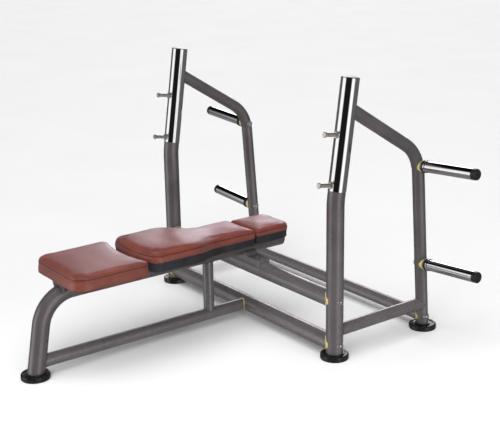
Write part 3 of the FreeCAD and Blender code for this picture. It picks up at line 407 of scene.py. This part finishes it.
def even_loop(points, step):
    """A closed path through the points with even steps."""
    count = len(points)
    lengths = [(points[(i + 1) % count] - points[i]).length for i in range(count)]
    total = sum(lengths)
    wanted = max(FEWEST_STEPS, round(total / step))
    path = []
    index = 0
    passed = 0.0
    for number in range(wanted):
        target = total * number / wanted
        while passed + lengths[index] < target:
            passed += lengths[index]
            index += 1
        share = (target - passed) / max(lengths[index], TINY)
        path.append(points[index].lerp(points[(index + 1) % count], share))
    return path


def eased(path, rounds):
    """The path with each point moved towards the middle of its neighbours."""
    for _ in range(rounds):
        count = len(path)
        path = [(path[i - 1] + path[i] * 2.0 + path[(i + 1) % count]) / 4.0 for i in range(count)]
    return path


def slice_at(mesh, height, centre):
    """The loop of a mesh at one height that reaches farthest from the centre, in order."""
    bm = bmesh.new()
    bm.from_mesh(mesh)
    bmesh.ops.remove_doubles(bm, verts=bm.verts, dist=SAME_POINT)
    cut = bmesh.ops.bisect_plane(bm, geom=bm.verts[:] + bm.edges[:] + bm.faces[:],
                                 plane_co=(0.0, 0.0, height), plane_no=(0.0, 0.0, 1.0))
    ring_edges = [item for item in cut["geom_cut"] if isinstance(item, bmesh.types.BMEdge)]
    left = set(ring_edges)
    loops = []
    for edge in ring_edges:
        if edge not in left:
            continue
        left.discard(edge)
        start, corner = edge.verts
        loop = [start.co.copy(), corner.co.copy()]
        while corner is not start:
            onward = next((e for e in corner.link_edges if e in left), None)
            if onward is None:
                break
            left.discard(onward)
            corner = onward.other_vert(corner)
            loop.append(corner.co.copy())
        loops.append(loop[:-1] if corner is start else loop)
    bm.free()
    return max(loops, key=lambda loop: max((point - centre).length for point in loop))


def tube_along(bm, path, radius_at, sides=8):
    """Adds a closed tube along a closed path; radius_at gives its radius at each point."""
    count = len(path)
    rings = []
    for index in range(count):
        ahead = (path[(index + 1) % count] - path[index - 1]).normalized()
        across = ahead.cross(UPWARD)
        if across.length < NEARLY_UPRIGHT:
            across = ahead.cross(BACKWARD)
        across.normalize()
        upward = across.cross(ahead)
        radius = radius_at(index)
        ring = []
        for side in range(sides):
            turn = 2.0 * math.pi * side / sides
            offset = across * math.cos(turn) + upward * math.sin(turn)
            ring.append(bm.verts.new(path[index] + offset * radius))
        rings.append(ring)
    for index in range(count):
        ring, after = rings[index], rings[(index + 1) % count]
        for side in range(sides):
            beside = (side + 1) % sides
            bm.faces.new((ring[side], ring[beside], after[beside], after[side]))


# ---------------------------------------------------------------------------------------------
# Cushions: crowned, inflated as cloth, then seamed
# ---------------------------------------------------------------------------------------------
VOXEL = 5.0 * MM
CLOTH_FRAMES = 20
CLOTH_PRESSURE = 4.0
HEM = 9.0 * MM
SPREAD_ROUNDS = 14
# faces whose normals rise less than the first, or reach out at least the second, are the side
STEEP = 0.3
OUTWARD = 0.5
# the crown: which part of the side finds the outline, and where the doming starts and is whole
SIDE_MARGIN = 0.35
HALF = 0.5
WHOLE = 0.85
CROWN_FULLNESS = 0.8
ROLL = 1.6
# seams: how deep and how wide the cover is drawn in, and what is sewn there
WELT_TUCK = 2.6 * MM
WELT_TUCK_WIDTH = 3.4 * MM
STITCH_TUCK = 2.4 * MM
STITCH_TUCK_WIDTH = 3.2 * MM
WELT_RADIUS = 1.5 * MM
WELT_STEP = 3.0 * MM
OUTLINE_STEP = 2.0 * MM
STITCH_PITCH = 5.5 * MM
STITCH_LENGTH = 4.0 * MM
STITCH_RADIUS = 0.45 * MM
STITCH_STAND = 0.15 * MM
# the back pad along the bench: proud at the shoulders, low at the neck
SHOULDER_RISE = 10.0 * MM
NECK_DROP = 9.0 * MM
SHOULDER_Y = -150.0 * MM
NECK_Y = 90.0 * MM
# the seat's outline: corners, front edge and the circle of its hollow rear edge
FRONT_CORNER = 70.0 * MM
REAR_CORNER = 36.0 * MM
FRONT_FULLNESS = 9.0 * MM
REAR_EDGE_MIDDLE = -362.0 * MM
REAR_EDGE_RADIUS = 657.0 * MM


def baked(piece):
    """A new mesh with the piece's modifiers applied."""
    return bpy.data.meshes.new_from_object(piece.evaluated_get(bpy.context.evaluated_depsgraph_get()))


def remeshed(name, node):
    """An even mesh of a cushion's solid, as a new object."""
    mesh = NODES[node].data.copy()
    mesh.name = name
    piece = bpy.data.objects.new(name, mesh)
    scene.collection.objects.link(piece)
    modifier = piece.modifiers.new("Remesh", "REMESH")
    modifier.mode = "VOXEL"
    modifier.voxel_size = VOXEL
    even = baked(piece)
    piece.modifiers.clear()
    piece.data = even
    return piece


def edge_distance(mesh, low, high):
    """A function that gives how far a point lies inside the cushion's side, seen from above."""
    wall = [v.co for v in mesh.vertices if low < v.co.z < high and abs(v.normal.z) < STEEP]
    tree = KDTree(len(wall))
    for index, point in enumerate(wall):
        tree.insert((point.x, point.y, 0.0), index)
    tree.balance()
    return lambda point: tree.find((point.x, point.y, 0.0))[2]


def round_corner(piece, loop, centre, radius, first, last):
    """Pulls one corner of the outline in to a rounder arc.

    The arc's centre is seen from above, and it runs between two bearings in degrees."""
    polar = sorted((math.degrees(math.atan2(point.y - centre[1], point.x - centre[0])),
                    math.hypot(point.x - centre[0], point.y - centre[1])) for point in loop)
    for vertex in piece.data.vertices:
        x, y = vertex.co.x - centre[0], vertex.co.y - centre[1]
        bearing = math.degrees(math.atan2(y, x))
        if not first < bearing < last:
            continue
        after = bisect.bisect(polar, (bearing, 0.0)) % len(polar)
        (low_turn, low_edge), (high_turn, high_edge) = polar[after - 1], polar[after]
        share = (bearing - low_turn) / max(high_turn - low_turn, TINY)
        edge = low_edge + (high_edge - low_edge) * share
        if edge <= radius:
            continue
        pull = (1.0 - radius / edge) * min(1.0, math.hypot(x, y) / edge) ** 2
        vertex.co.x -= x * pull
        vertex.co.y -= y * pull
    piece.data.update()


def shape_seat(piece):
    """The seat's corners are rounder than the plain solid's, and its front edge is fuller."""
    low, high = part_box("seat_cushion")
    middle = (low + high) / 2.0
    loop = even_loop(slice_at(NODES["seat_cushion"].data, middle.z, middle), OUTLINE_STEP)
    for side in (-1.0, 1.0):
        front = (side * (high.x - FRONT_CORNER), low.y + FRONT_CORNER)
        turns = (-90.0, 0.0) if side > 0.0 else (-180.0, -90.0)
        round_corner(piece, loop, front, FRONT_CORNER, *turns)
        # the rear edge is an arc of a circle, and the corner's arc touches it from outside
        across = high.x - REAR_CORNER
        along = REAR_EDGE_MIDDLE + REAR_EDGE_RADIUS
        reach = REAR_EDGE_RADIUS + REAR_CORNER
        rear = (side * across, along - math.sqrt(reach ** 2 - across ** 2))
        lean = math.degrees(math.asin(across / reach))
        turns = (0.0, 90.0 + lean) if side > 0.0 else (90.0 - lean, 180.0)
        round_corner(piece, loop, rear, REAR_CORNER, *turns)
    for vertex in piece.data.vertices:
        vertex.co.y -= FRONT_FULLNESS * (1.0 - smooth_step(vertex.co.y, low.y, middle.y))
    piece.data.update()


def crown(piece, low, high, rise, width, shoulder):
    """Domes the top by the rise over the width in from its edge, and rolls the shoulder.

    Only the upper half moves, and it moves fully from WHOLE of the height up."""
    mesh = piece.data
    height = high - low
    inside = edge_distance(mesh, low + SIDE_MARGIN * height, high - SIDE_MARGIN * height)
    for vertex in mesh.vertices:
        level = (vertex.co.z - low) / height
        if level < HALF:
            continue
        depth = inside(vertex.co)
        lift = rise * math.sin(0.5 * math.pi * min(depth / width, 1.0)) ** CROWN_FULLNESS
        drop = shoulder * math.exp(-((depth / (ROLL * shoulder)) ** 2))
        share = min(1.0, (level - HALF) / (WHOLE - HALF))
        vertex.co.z += (lift - drop) * share
    mesh.update()


def inflate(piece, low, limit):
    """Runs the cover as cloth under pressure, its hem held, and keeps each move within a limit.

    The cover is glued to its foam, so sharp puckers are spread over their neighbours."""
    mesh = piece.data
    start = [vertex.co.copy() for vertex in mesh.vertices]
    hem = piece.vertex_groups.new(name="hem")
    hem.add([v.index for v in mesh.vertices if v.co.z < low + HEM], 1.0, "REPLACE")
    modifier = piece.modifiers.new("Cloth", "CLOTH")
    cloth = modifier.settings
    cloth.quality = 6
    cloth.mass = 0.25
    cloth.tension_stiffness = 20.0
    cloth.compression_stiffness = 12.0
    cloth.shear_stiffness = 8.0
    cloth.bending_stiffness = 5.0
    cloth.use_pressure = True
    cloth.uniform_pressure_force = CLOTH_PRESSURE
    cloth.effector_weights.gravity = 0.0
    cloth.vertex_group_mass = hem.name
    modifier.collision_settings.use_collision = False
    modifier.collision_settings.use_self_collision = False
    modifier.point_cache.frame_start = 1
    modifier.point_cache.frame_end = CLOTH_FRAMES
    for number in range(1, CLOTH_FRAMES + 1):
        scene.frame_set(number)
    puffed = baked(piece)
    moves = [moved.co - before for moved, before in zip(puffed.vertices, start)]
    beside = [[] for _ in moves]
    for edge in mesh.edges:
        first, second = edge.vertices
        beside[first].append(second)
        beside[second].append(first)
    for _ in range(SPREAD_ROUNDS):
        moves = [(moves[i] + sum((moves[j] for j in near), Vector())) / (len(near) + 1)
                 for i, near in enumerate(beside)]
    for vertex, move, before in zip(mesh.vertices, moves, start):
        vertex.co = before + move * min(1.0, limit / max(move.length, TINY))
    piece.modifiers.clear()
    piece.vertex_groups.clear()
    scene.frame_set(1)
    mesh.update()


def smooth_step(number, low, high):
    """0 below the range, 1 above it and smooth between."""
    share = min(1.0, max(0.0, (number - low) / (high - low)))
    return share * share * (3.0 - 2.0 * share)


def back_shift(y):
    """The back pad stands proud at the shoulders and dips at the neck."""
    return SHOULDER_RISE - (SHOULDER_RISE + NECK_DROP) * smooth_step(y, SHOULDER_Y, NECK_Y)


def no_shift(_):
    """The seat and head pad lie level."""
    return 0.0


def shift(piece, rise_at):
    """Lifts the piece by an amount that changes along the bench."""
    for vertex in piece.data.vertices:
        vertex.co.z += rise_at(vertex.co.y)
    piece.data.update()


def tuck(piece, height, depth, width, rise_at):
    """Pulls the side in along a seam at that height."""
    mesh = piece.data
    for vertex in mesh.vertices:
        across = Vector((vertex.normal.x, vertex.normal.y, 0.0))
        if across.length < OUTWARD:
            continue
        near = math.exp(-(((vertex.co.z - height - rise_at(vertex.co.y)) / width) ** 2))
        vertex.co -= across.normalized() * depth * near
    mesh.update()


def refine(piece):
    """Subdivides the cushion once and keeps the result."""
    modifier = piece.modifiers.new("Subdivision", "SUBSURF")
    modifier.levels = 1
    modifier.render_levels = 1
    smooth = baked(piece)
    piece.modifiers.clear()
    piece.data = smooth
    smooth.shade_smooth()


def seam_path(piece, height, outward, step, rise_at):
    """An even path round the cushion, standing off its surface and rising with it."""
    level = piece.data.copy()
    for vertex in level.vertices:
        vertex.co.z -= rise_at(vertex.co.y)
    low, high = piece_box(piece)
    loop = slice_at(level, height, (low + high) / 2.0)
    bpy.data.meshes.remove(level)
    path = eased(even_loop(loop, step), 3)
    skin = surface_tree(piece.data)
    placed = []
    for point in path:
        where, normal, _, _ = skin.find_nearest(point + Vector((0.0, 0.0, rise_at(point.y))))
        placed.append(where + normal * outward)
    return eased(placed, 2)


def piece_box(piece):
    """Lowest and highest corners of a piece's own mesh."""
    points = [vertex.co for vertex in piece.data.vertices]
    low = Vector([min(point[axis] for point in points) for axis in range(3)])
    high = Vector([max(point[axis] for point in points) for axis in range(3)])
    return low, high


def welt(name, piece, height, rise_at):
    """Leather piping sewn into the seam at that height."""
    path = seam_path(piece, height, 0.25 * WELT_RADIUS, WELT_STEP, rise_at)
    bm = bmesh.new()
    tube_along(bm, path,
               lambda index: WELT_RADIUS * (1.0 + 0.06 * noise.noise(path[index] * 140.0)))
    new_piece(name, bm, "leather")


def stitches(name, piece, height, rise_at):
    """A row of thread stitches round the cushion at one height."""
    path = seam_path(piece, height, STITCH_STAND, STITCH_PITCH, rise_at)
    count = len(path)
    bm = bmesh.new()
    for index in range(count):
        ahead = (path[(index + 1) % count] - path[index - 1]).normalized()
        frame_axes = ahead.to_track_quat("Z", "Y").to_matrix().to_4x4()
        made = bmesh.ops.create_uvsphere(bm, u_segments=8, v_segments=6, radius=1.0)
        shape = Matrix.Diagonal((STITCH_RADIUS, STITCH_RADIUS, STITCH_LENGTH / 2.0, 1.0))
        bmesh.ops.transform(bm, matrix=Matrix.Translation(path[index]) @ frame_axes @ shape,
                            verts=made["verts"])
    new_piece(name, bm, "leather", THREAD)


def cushion(name, node, rise, width, shoulder, welt_drop, seam_drop, puff, rise_at=no_shift,
            reshape=None):
    """One upholstered cushion with its welt, and a stitched seam below it if it has one."""
    low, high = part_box(node)
    piece = remeshed(name, node)
    if reshape is not None:
        reshape(piece)
    crown(piece, low.z, high.z, rise, width, shoulder)
    inflate(piece, low.z, puff)
    shift(piece, rise_at)
    rim = high.z - welt_drop
    tuck(piece, rim, WELT_TUCK, WELT_TUCK_WIDTH, rise_at)
    if seam_drop:
        tuck(piece, rim - seam_drop, STITCH_TUCK, STITCH_TUCK_WIDTH, rise_at)
    refine(piece)
    dress(piece, LOOKS["leather"])
    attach(piece, "root")
    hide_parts(node)
    welt(f"{name}_welt", piece, rim, rise_at)
    if seam_drop:
        stitches(f"{name}_stitches", piece, rim - seam_drop, rise_at)


cushion("seat_pad", "seat_cushion", rise=5.0 * MM, width=120.0 * MM, shoulder=3.5 * MM,
        welt_drop=11.0 * MM, seam_drop=13.0 * MM, puff=3.5 * MM, reshape=shape_seat)
cushion("back_pad", "back_cushion", rise=9.0 * MM, width=150.0 * MM, shoulder=5.0 * MM,
        welt_drop=10.0 * MM, seam_drop=0.0, puff=5.0 * MM, rise_at=back_shift)
cushion("head_pad", "head_cushion", rise=3.0 * MM, width=90.0 * MM, shoulder=6.0 * MM,
        welt_drop=11.0 * MM, seam_drop=0.0, puff=5.0 * MM)


# ---------------------------------------------------------------------------------------------
# Moulded pad bases
# ---------------------------------------------------------------------------------------------
# a base's lower edge, the lip under its cushion and the skirt beside the beam
BASE_ROUND = 6.0 * MM
BASE_LIP = 5.0 * MM
BASE_LIP_OUT = 1.2 * MM
BASE_BEVEL = 1.0 * MM
BASE_CEILING = 1.0 * MM
SKIRT = 11.0 * MM
SKIRT_START = 32.0 * MM
SKIRT_WHOLE = 60.0 * MM
# along the bench, the back pad's skirt begins behind its front and is whole at the neck
HANG_START_Y = -200.0 * MM
HANG_WHOLE_Y = 60.0 * MM


def base_profile(height):
    """Points up the base's side: (out from the solid's outline, height above its lower edge)."""
    points = [(-2.0 * BASE_ROUND, 0.0)]
    steps = 5
    for number in range(steps + 1):
        turn = 0.5 * math.pi * number / steps
        points.append((BASE_ROUND * (math.sin(turn) - 1.0), BASE_ROUND * (1.0 - math.cos(turn))))
    lip = height - BASE_LIP
    return points + [(0.0, lip - BASE_BEVEL), (BASE_LIP_OUT, lip),
                     (BASE_LIP_OUT, height - BASE_BEVEL), (BASE_LIP_OUT - BASE_BEVEL, height)]


def pad_base(name, node, rise_at, skirt_at):
    """A moulded base: rounded below, with a rim at the top and a skirt beside the beam.

    rise_at lifts its upper edge and skirt_at says how far its skirt hangs, both along Y."""
    low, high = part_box(node)
    middle = (low + high) / 2.0
    outline = even_loop(slice_at(NODES[node].data, middle.z, middle), 5.0 * MM)
    count = len(outline)
    outward = []
    for index in range(count):
        ahead = (outline[(index + 1) % count] - outline[index - 1]).normalized()
        outward.append(Vector((ahead.y, -ahead.x, 0.0)))
    if sum(outward[i].dot(outline[i] - middle) for i in range(count)) < 0.0:
        outward = [-side for side in outward]
    height = high.z - low.z
    bm = bmesh.new()
    rings = []
    for inset, level in base_profile(height):
        share = level / height
        ring = []
        for point, side in zip(outline, outward):
            place = point + side * inset
            beside_beam = smooth_step(abs(place.x), SKIRT_START, SKIRT_WHOLE)
            hang = skirt_at(place.y) * beside_beam * (1.0 - share)
            lift = rise_at(place.y) * share
            ring.append(bm.verts.new((place.x, place.y, low.z + level - hang + lift)))
        rings.append(ring)
    for ring, after in zip(rings, rings[1:]):
        for index in range(count):
            ahead = (index + 1) % count
            bm.faces.new((ring[index], ring[ahead], after[ahead], after[index]))
    # inside the skirt the moulding is closed just above the cross plates
    ceiling = [bm.verts.new((vert.co.x, vert.co.y, low.z + BASE_CEILING)) for vert in rings[0]]
    for index in range(count):
        ahead = (index + 1) % count
        bm.faces.new((ceiling[index], ceiling[ahead], rings[0][ahead], rings[0][index]))
    for ring in (ceiling, rings[-1]):
        bmesh.ops.triangle_fill(bm, use_beauty=True, edges=[
            bm.edges.get((ring[index], ring[(index + 1) % count])) for index in range(count)])
    bmesh.ops.recalc_face_normals(bm, faces=bm.faces)
    piece = new_piece(name, bm, "pad_base_plastic")
    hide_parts(node)


pad_base("back_base_moulding", "back_pad_base", back_shift,
         lambda y: SKIRT * smooth_step(y, HANG_START_Y, HANG_WHOLE_Y))
pad_base("head_base_moulding", "head_pad_base", no_shift, lambda y: SKIRT)


# ---------------------------------------------------------------------------------------------
# Weld beads
# ---------------------------------------------------------------------------------------------
BEAD = 2.6 * MM
BEAD_STEP = 1.1 * MM
BEAD_SINK = 0.7 * MM
RIPPLE = 3.6 * MM
RAYS = 120


def weld(name, start, towards, radius, *targets):
    """A bead where a round tube meets other pieces.

    The start is a point on the tube's axis outside the joint, and rays along its wall find the
    surface that it is welded to."""
    skin = surface_tree(*[NODES[target].data for target in targets])
    axis = Vector(towards).normalized()
    across = axis.orthogonal().normalized()
    upward = axis.cross(across)
    points = []
    for number in range(RAYS):
        turn = 2.0 * math.pi * number / RAYS
        offset = (across * math.cos(turn) + upward * math.sin(turn)) * (radius - BEAD_SINK)
        where, _, _, _ = skin.ray_cast(Vector(start) + offset, axis)
        if where is not None:
            points.append(where)
    if len(points) < RAYS:
        raise RuntimeError(f"{name}: {RAYS - len(points)} rays missed")
    path = eased(even_loop(points, BEAD_STEP), 2)
    steps = round(RIPPLE / BEAD_STEP)

    def radius_at(index):
        ripple = 0.5 + 0.5 * math.cos(2.0 * math.pi * index / steps)
        return BEAD * (0.86 + 0.16 * ripple + 0.1 * noise.noise(path[index] * 90.0))

    bm = bmesh.new()
    tube_along(bm, path, radius_at)
    new_piece(name, bm, "frame_paint")


def middle_of(node):
    """The middle of a node's box."""
    low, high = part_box(node)
    return (low + high) / 2.0


# radii of the small tubes and of the strut
SMALL_R = 27.0 * MM
STRUT_R = 24.0 * MM
# the rear post's lean and length up to its bend, and the slope of the tube above that bend
POST_LEAN = math.radians(4.4)
POST_LEG = 813.0 * MM
SLOPE = math.radians(31.4)
ALONG_SLOPE = 300.0 * MM
UPHILL = Vector((0.0, -math.cos(SLOPE), math.sin(SLOPE)))
for side in SIDES:
    rail = middle_of(f"side_rail_{side}")
    weld(f"rail_front_weld_{side}", rail, FORWARD, SMALL_R, f"upright_tube_{side}")
    weld(f"rail_rear_weld_{side}", rail, BACKWARD, SMALL_R, f"rear_post_{side}")
    # the sloping tube leaves the rear post at its bend and ends at the chrome sleeve
    foot = middle_of(f"rear_foot_{side}")
    bend_y = foot.y - POST_LEG * math.sin(POST_LEAN)
    bend = Vector((foot.x, bend_y, POST_LEG * math.cos(POST_LEAN)))
    weld(f"slope_weld_{side}", bend + UPHILL * ALONG_SLOPE, UPHILL, SMALL_R, f"chrome_sleeve_{side}")
strut = middle_of("bench_strut")
weld("strut_top_weld", strut, UPWARD, STRUT_R, "bench_beam")
weld("strut_foot_weld", strut, -UPWARD, STRUT_R, "lower_beam")
weld("lower_beam_weld", middle_of("lower_beam"), FORWARD, SMALL_R, "bench_beam")


# ---------------------------------------------------------------------------------------------
# Stage, lights and camera
# ---------------------------------------------------------------------------------------------
CAMERA_PLACE = Vector((3.5932, -2.3726, 1.8009))
CAMERA_YAW = math.radians(53.366)
CAMERA_PITCH = math.radians(16.3405)
CAMERA_ROLL = math.radians(-0.9546)
CAMERA_LENS = 73.99
SUN_STRENGTH = 2.9
SUN_SPREAD = math.radians(70.0)
SUN_TILT = (math.radians(18.0), math.radians(12.0), 0.0)
FILL_SIZE = 2.0


def photo_camera():
    """The camera at the photographer's place: yaw from +Y to the left, then pitch and roll."""
    level = Vector((-math.sin(CAMERA_YAW), math.cos(CAMERA_YAW), 0.0))
    ahead = level * math.cos(CAMERA_PITCH) - UPWARD * math.sin(CAMERA_PITCH)
    right = ahead.cross(UPWARD).normalized()
    upward = right.cross(ahead)
    cosine, sine = math.cos(CAMERA_ROLL), math.sin(CAMERA_ROLL)
    rolled_right = right * cosine + upward * sine
    rolled_up = upward * cosine - right * sine
    turn = Matrix((rolled_right, rolled_up, -ahead)).transposed()
    data = bpy.data.cameras.new("camera")
    data.lens = CAMERA_LENS
    camera = bpy.data.objects.new("camera", data)
    camera.matrix_world = Matrix.Translation(CAMERA_PLACE) @ turn.to_4x4()
    scene.collection.objects.link(camera)
    scene.camera = camera


def floor():
    """A wide pale studio floor; the plated tubes mirror the studio's own lower half instead."""
    bm = bmesh.new()
    bmesh.ops.create_grid(bm, x_segments=2, y_segments=2, size=60.0)
    mesh = bpy.data.meshes.new("floor")
    bm.to_mesh(mesh)
    bm.free()
    plane = bpy.data.objects.new("floor", mesh)
    scene.collection.objects.link(plane)
    material, tree, shader, place = new_material("pale_floor")
    cloud = noise_field(tree, place, 1.2, detail=3.0)
    colour = ramp(tree, cloud, ((0.3, 0.87), (0.7, 0.89)))
    finish_shader(tree, shader, colour, Roughness=0.8, Specular_IOR_Level=0.1)
    dress(plane, material)
    plane.visible_glossy = False


def fill_light(name, place, target, energy):
    """A soft square light that points at a target and isn't mirrored."""
    data = bpy.data.lights.new(name, "AREA")
    data.size = FILL_SIZE
    data.energy = energy
    light = bpy.data.objects.new(name, data)
    light.location = place
    light.rotation_mode = "QUATERNION"
    light.rotation_quaternion = (Vector(target) - Vector(place)).to_track_quat("-Z", "Y")
    light.visible_glossy = False
    scene.collection.objects.link(light)


def daylight():
    """A broad overhead sun, which lights the whole floor evenly and isn't mirrored."""
    data = bpy.data.lights.new("daylight", "SUN")
    data.energy = SUN_STRENGTH
    data.angle = SUN_SPREAD
    light = bpy.data.objects.new("daylight", data)
    light.rotation_euler = SUN_TILT
    light.visible_glossy = False
    scene.collection.objects.link(light)


def studio_world():
    """Dark and bright panels round the object, which the plated tubes mirror as bands.

    The panels' bearings are measured from the photographer's place, and stay in the room."""
    world = bpy.data.worlds.new("studio")
    scene.world = world
    world.use_nodes = True
    tree = world.node_tree
    back = tree.nodes["Background"]
    direction = tree.nodes.new("ShaderNodeTexCoord").outputs["Generated"]
    mapping = tree.nodes.new("ShaderNodeMapping")
    mapping.inputs["Rotation"].default_value = (0.0, 0.0, 0.5 * math.pi - CAMERA_YAW)
    tree.links.new(direction, mapping.inputs["Vector"])
    radial = tree.nodes.new("ShaderNodeTexGradient")
    radial.gradient_type = "RADIAL"
    tree.links.new(mapping.outputs["Vector"], radial.inputs["Vector"])
    bearing = radial.outputs["Fac"]
    panels = ramp(tree, bearing, (
        (0.0, 0.12), (0.20, 0.10), (0.235, 1.25), (0.325, 1.25), (0.355, 0.012), (0.54, 0.012),
        (0.57, 1.35), (0.645, 1.35), (0.67, 0.14), (1.0, 0.12)))
    height = tree.nodes.new("ShaderNodeSeparateXYZ")
    tree.links.new(direction, height.inputs["Vector"])
    level = remap(tree, height.outputs["Z"], -1.0, 1.0, 0.0, 1.0)
    ceiling = ramp(tree, level, ((0.0, 1.0), (0.70, 1.0), (0.74, 0.03), (0.95, 0.03), (0.98, 0.6)))
    studio = mixed(tree, 1.0, panels, ceiling, "MULTIPLY")
    near_floor = ramp(tree, level, ((0.0, 1.0), (0.28, 1.0), (0.36, 0.0)))
    studio = mixed(tree, near_floor, studio, (0.24, 0.235, 0.235))
    # a bright wall behind the bench, low enough to give the pads' tops their sheen
    wall_bearing = ramp(tree, bearing, (
        (0.0, 1.0), (0.004, 1.0), (0.032, 0.0), (0.95, 0.0), (0.98, 1.0)))
    wall_level = ramp(tree, level, ((0.53, 0.0), (0.56, 1.0), (0.72, 1.0), (0.78, 0.0)))
    wall = mixed(tree, 1.0, wall_bearing, wall_level, "MULTIPLY")
    studio = mixed(tree, wall, studio, (3.9, 3.65, 4.05))
    tree.links.new(studio, back.inputs["Color"])
    plain = tree.nodes.new("ShaderNodeBackground")
    plain.inputs["Color"].default_value = grey(0.93)
    path = tree.nodes.new("ShaderNodeLightPath")
    choose = tree.nodes.new("ShaderNodeMixShader")
    tree.links.new(path.outputs["Is Camera Ray"], choose.inputs["Fac"])
    tree.links.new(back.outputs["Background"], choose.inputs[1])
    tree.links.new(plain.outputs["Background"], choose.inputs[2])
    tree.links.new(choose.outputs["Shader"], tree.nodes["World Output"].inputs["Surface"])


photo_camera()
floor()
studio_world()
daylight()
fill_light("front_fill", (3.2, -3.6, 2.2), (0.0, 0.0, 0.5), 78.0)
fill_light("side_fill", (4.2, 1.6, 2.2), (0.0, 0.2, 0.6), 25.0)
scene.view_settings.view_transform = "Standard"
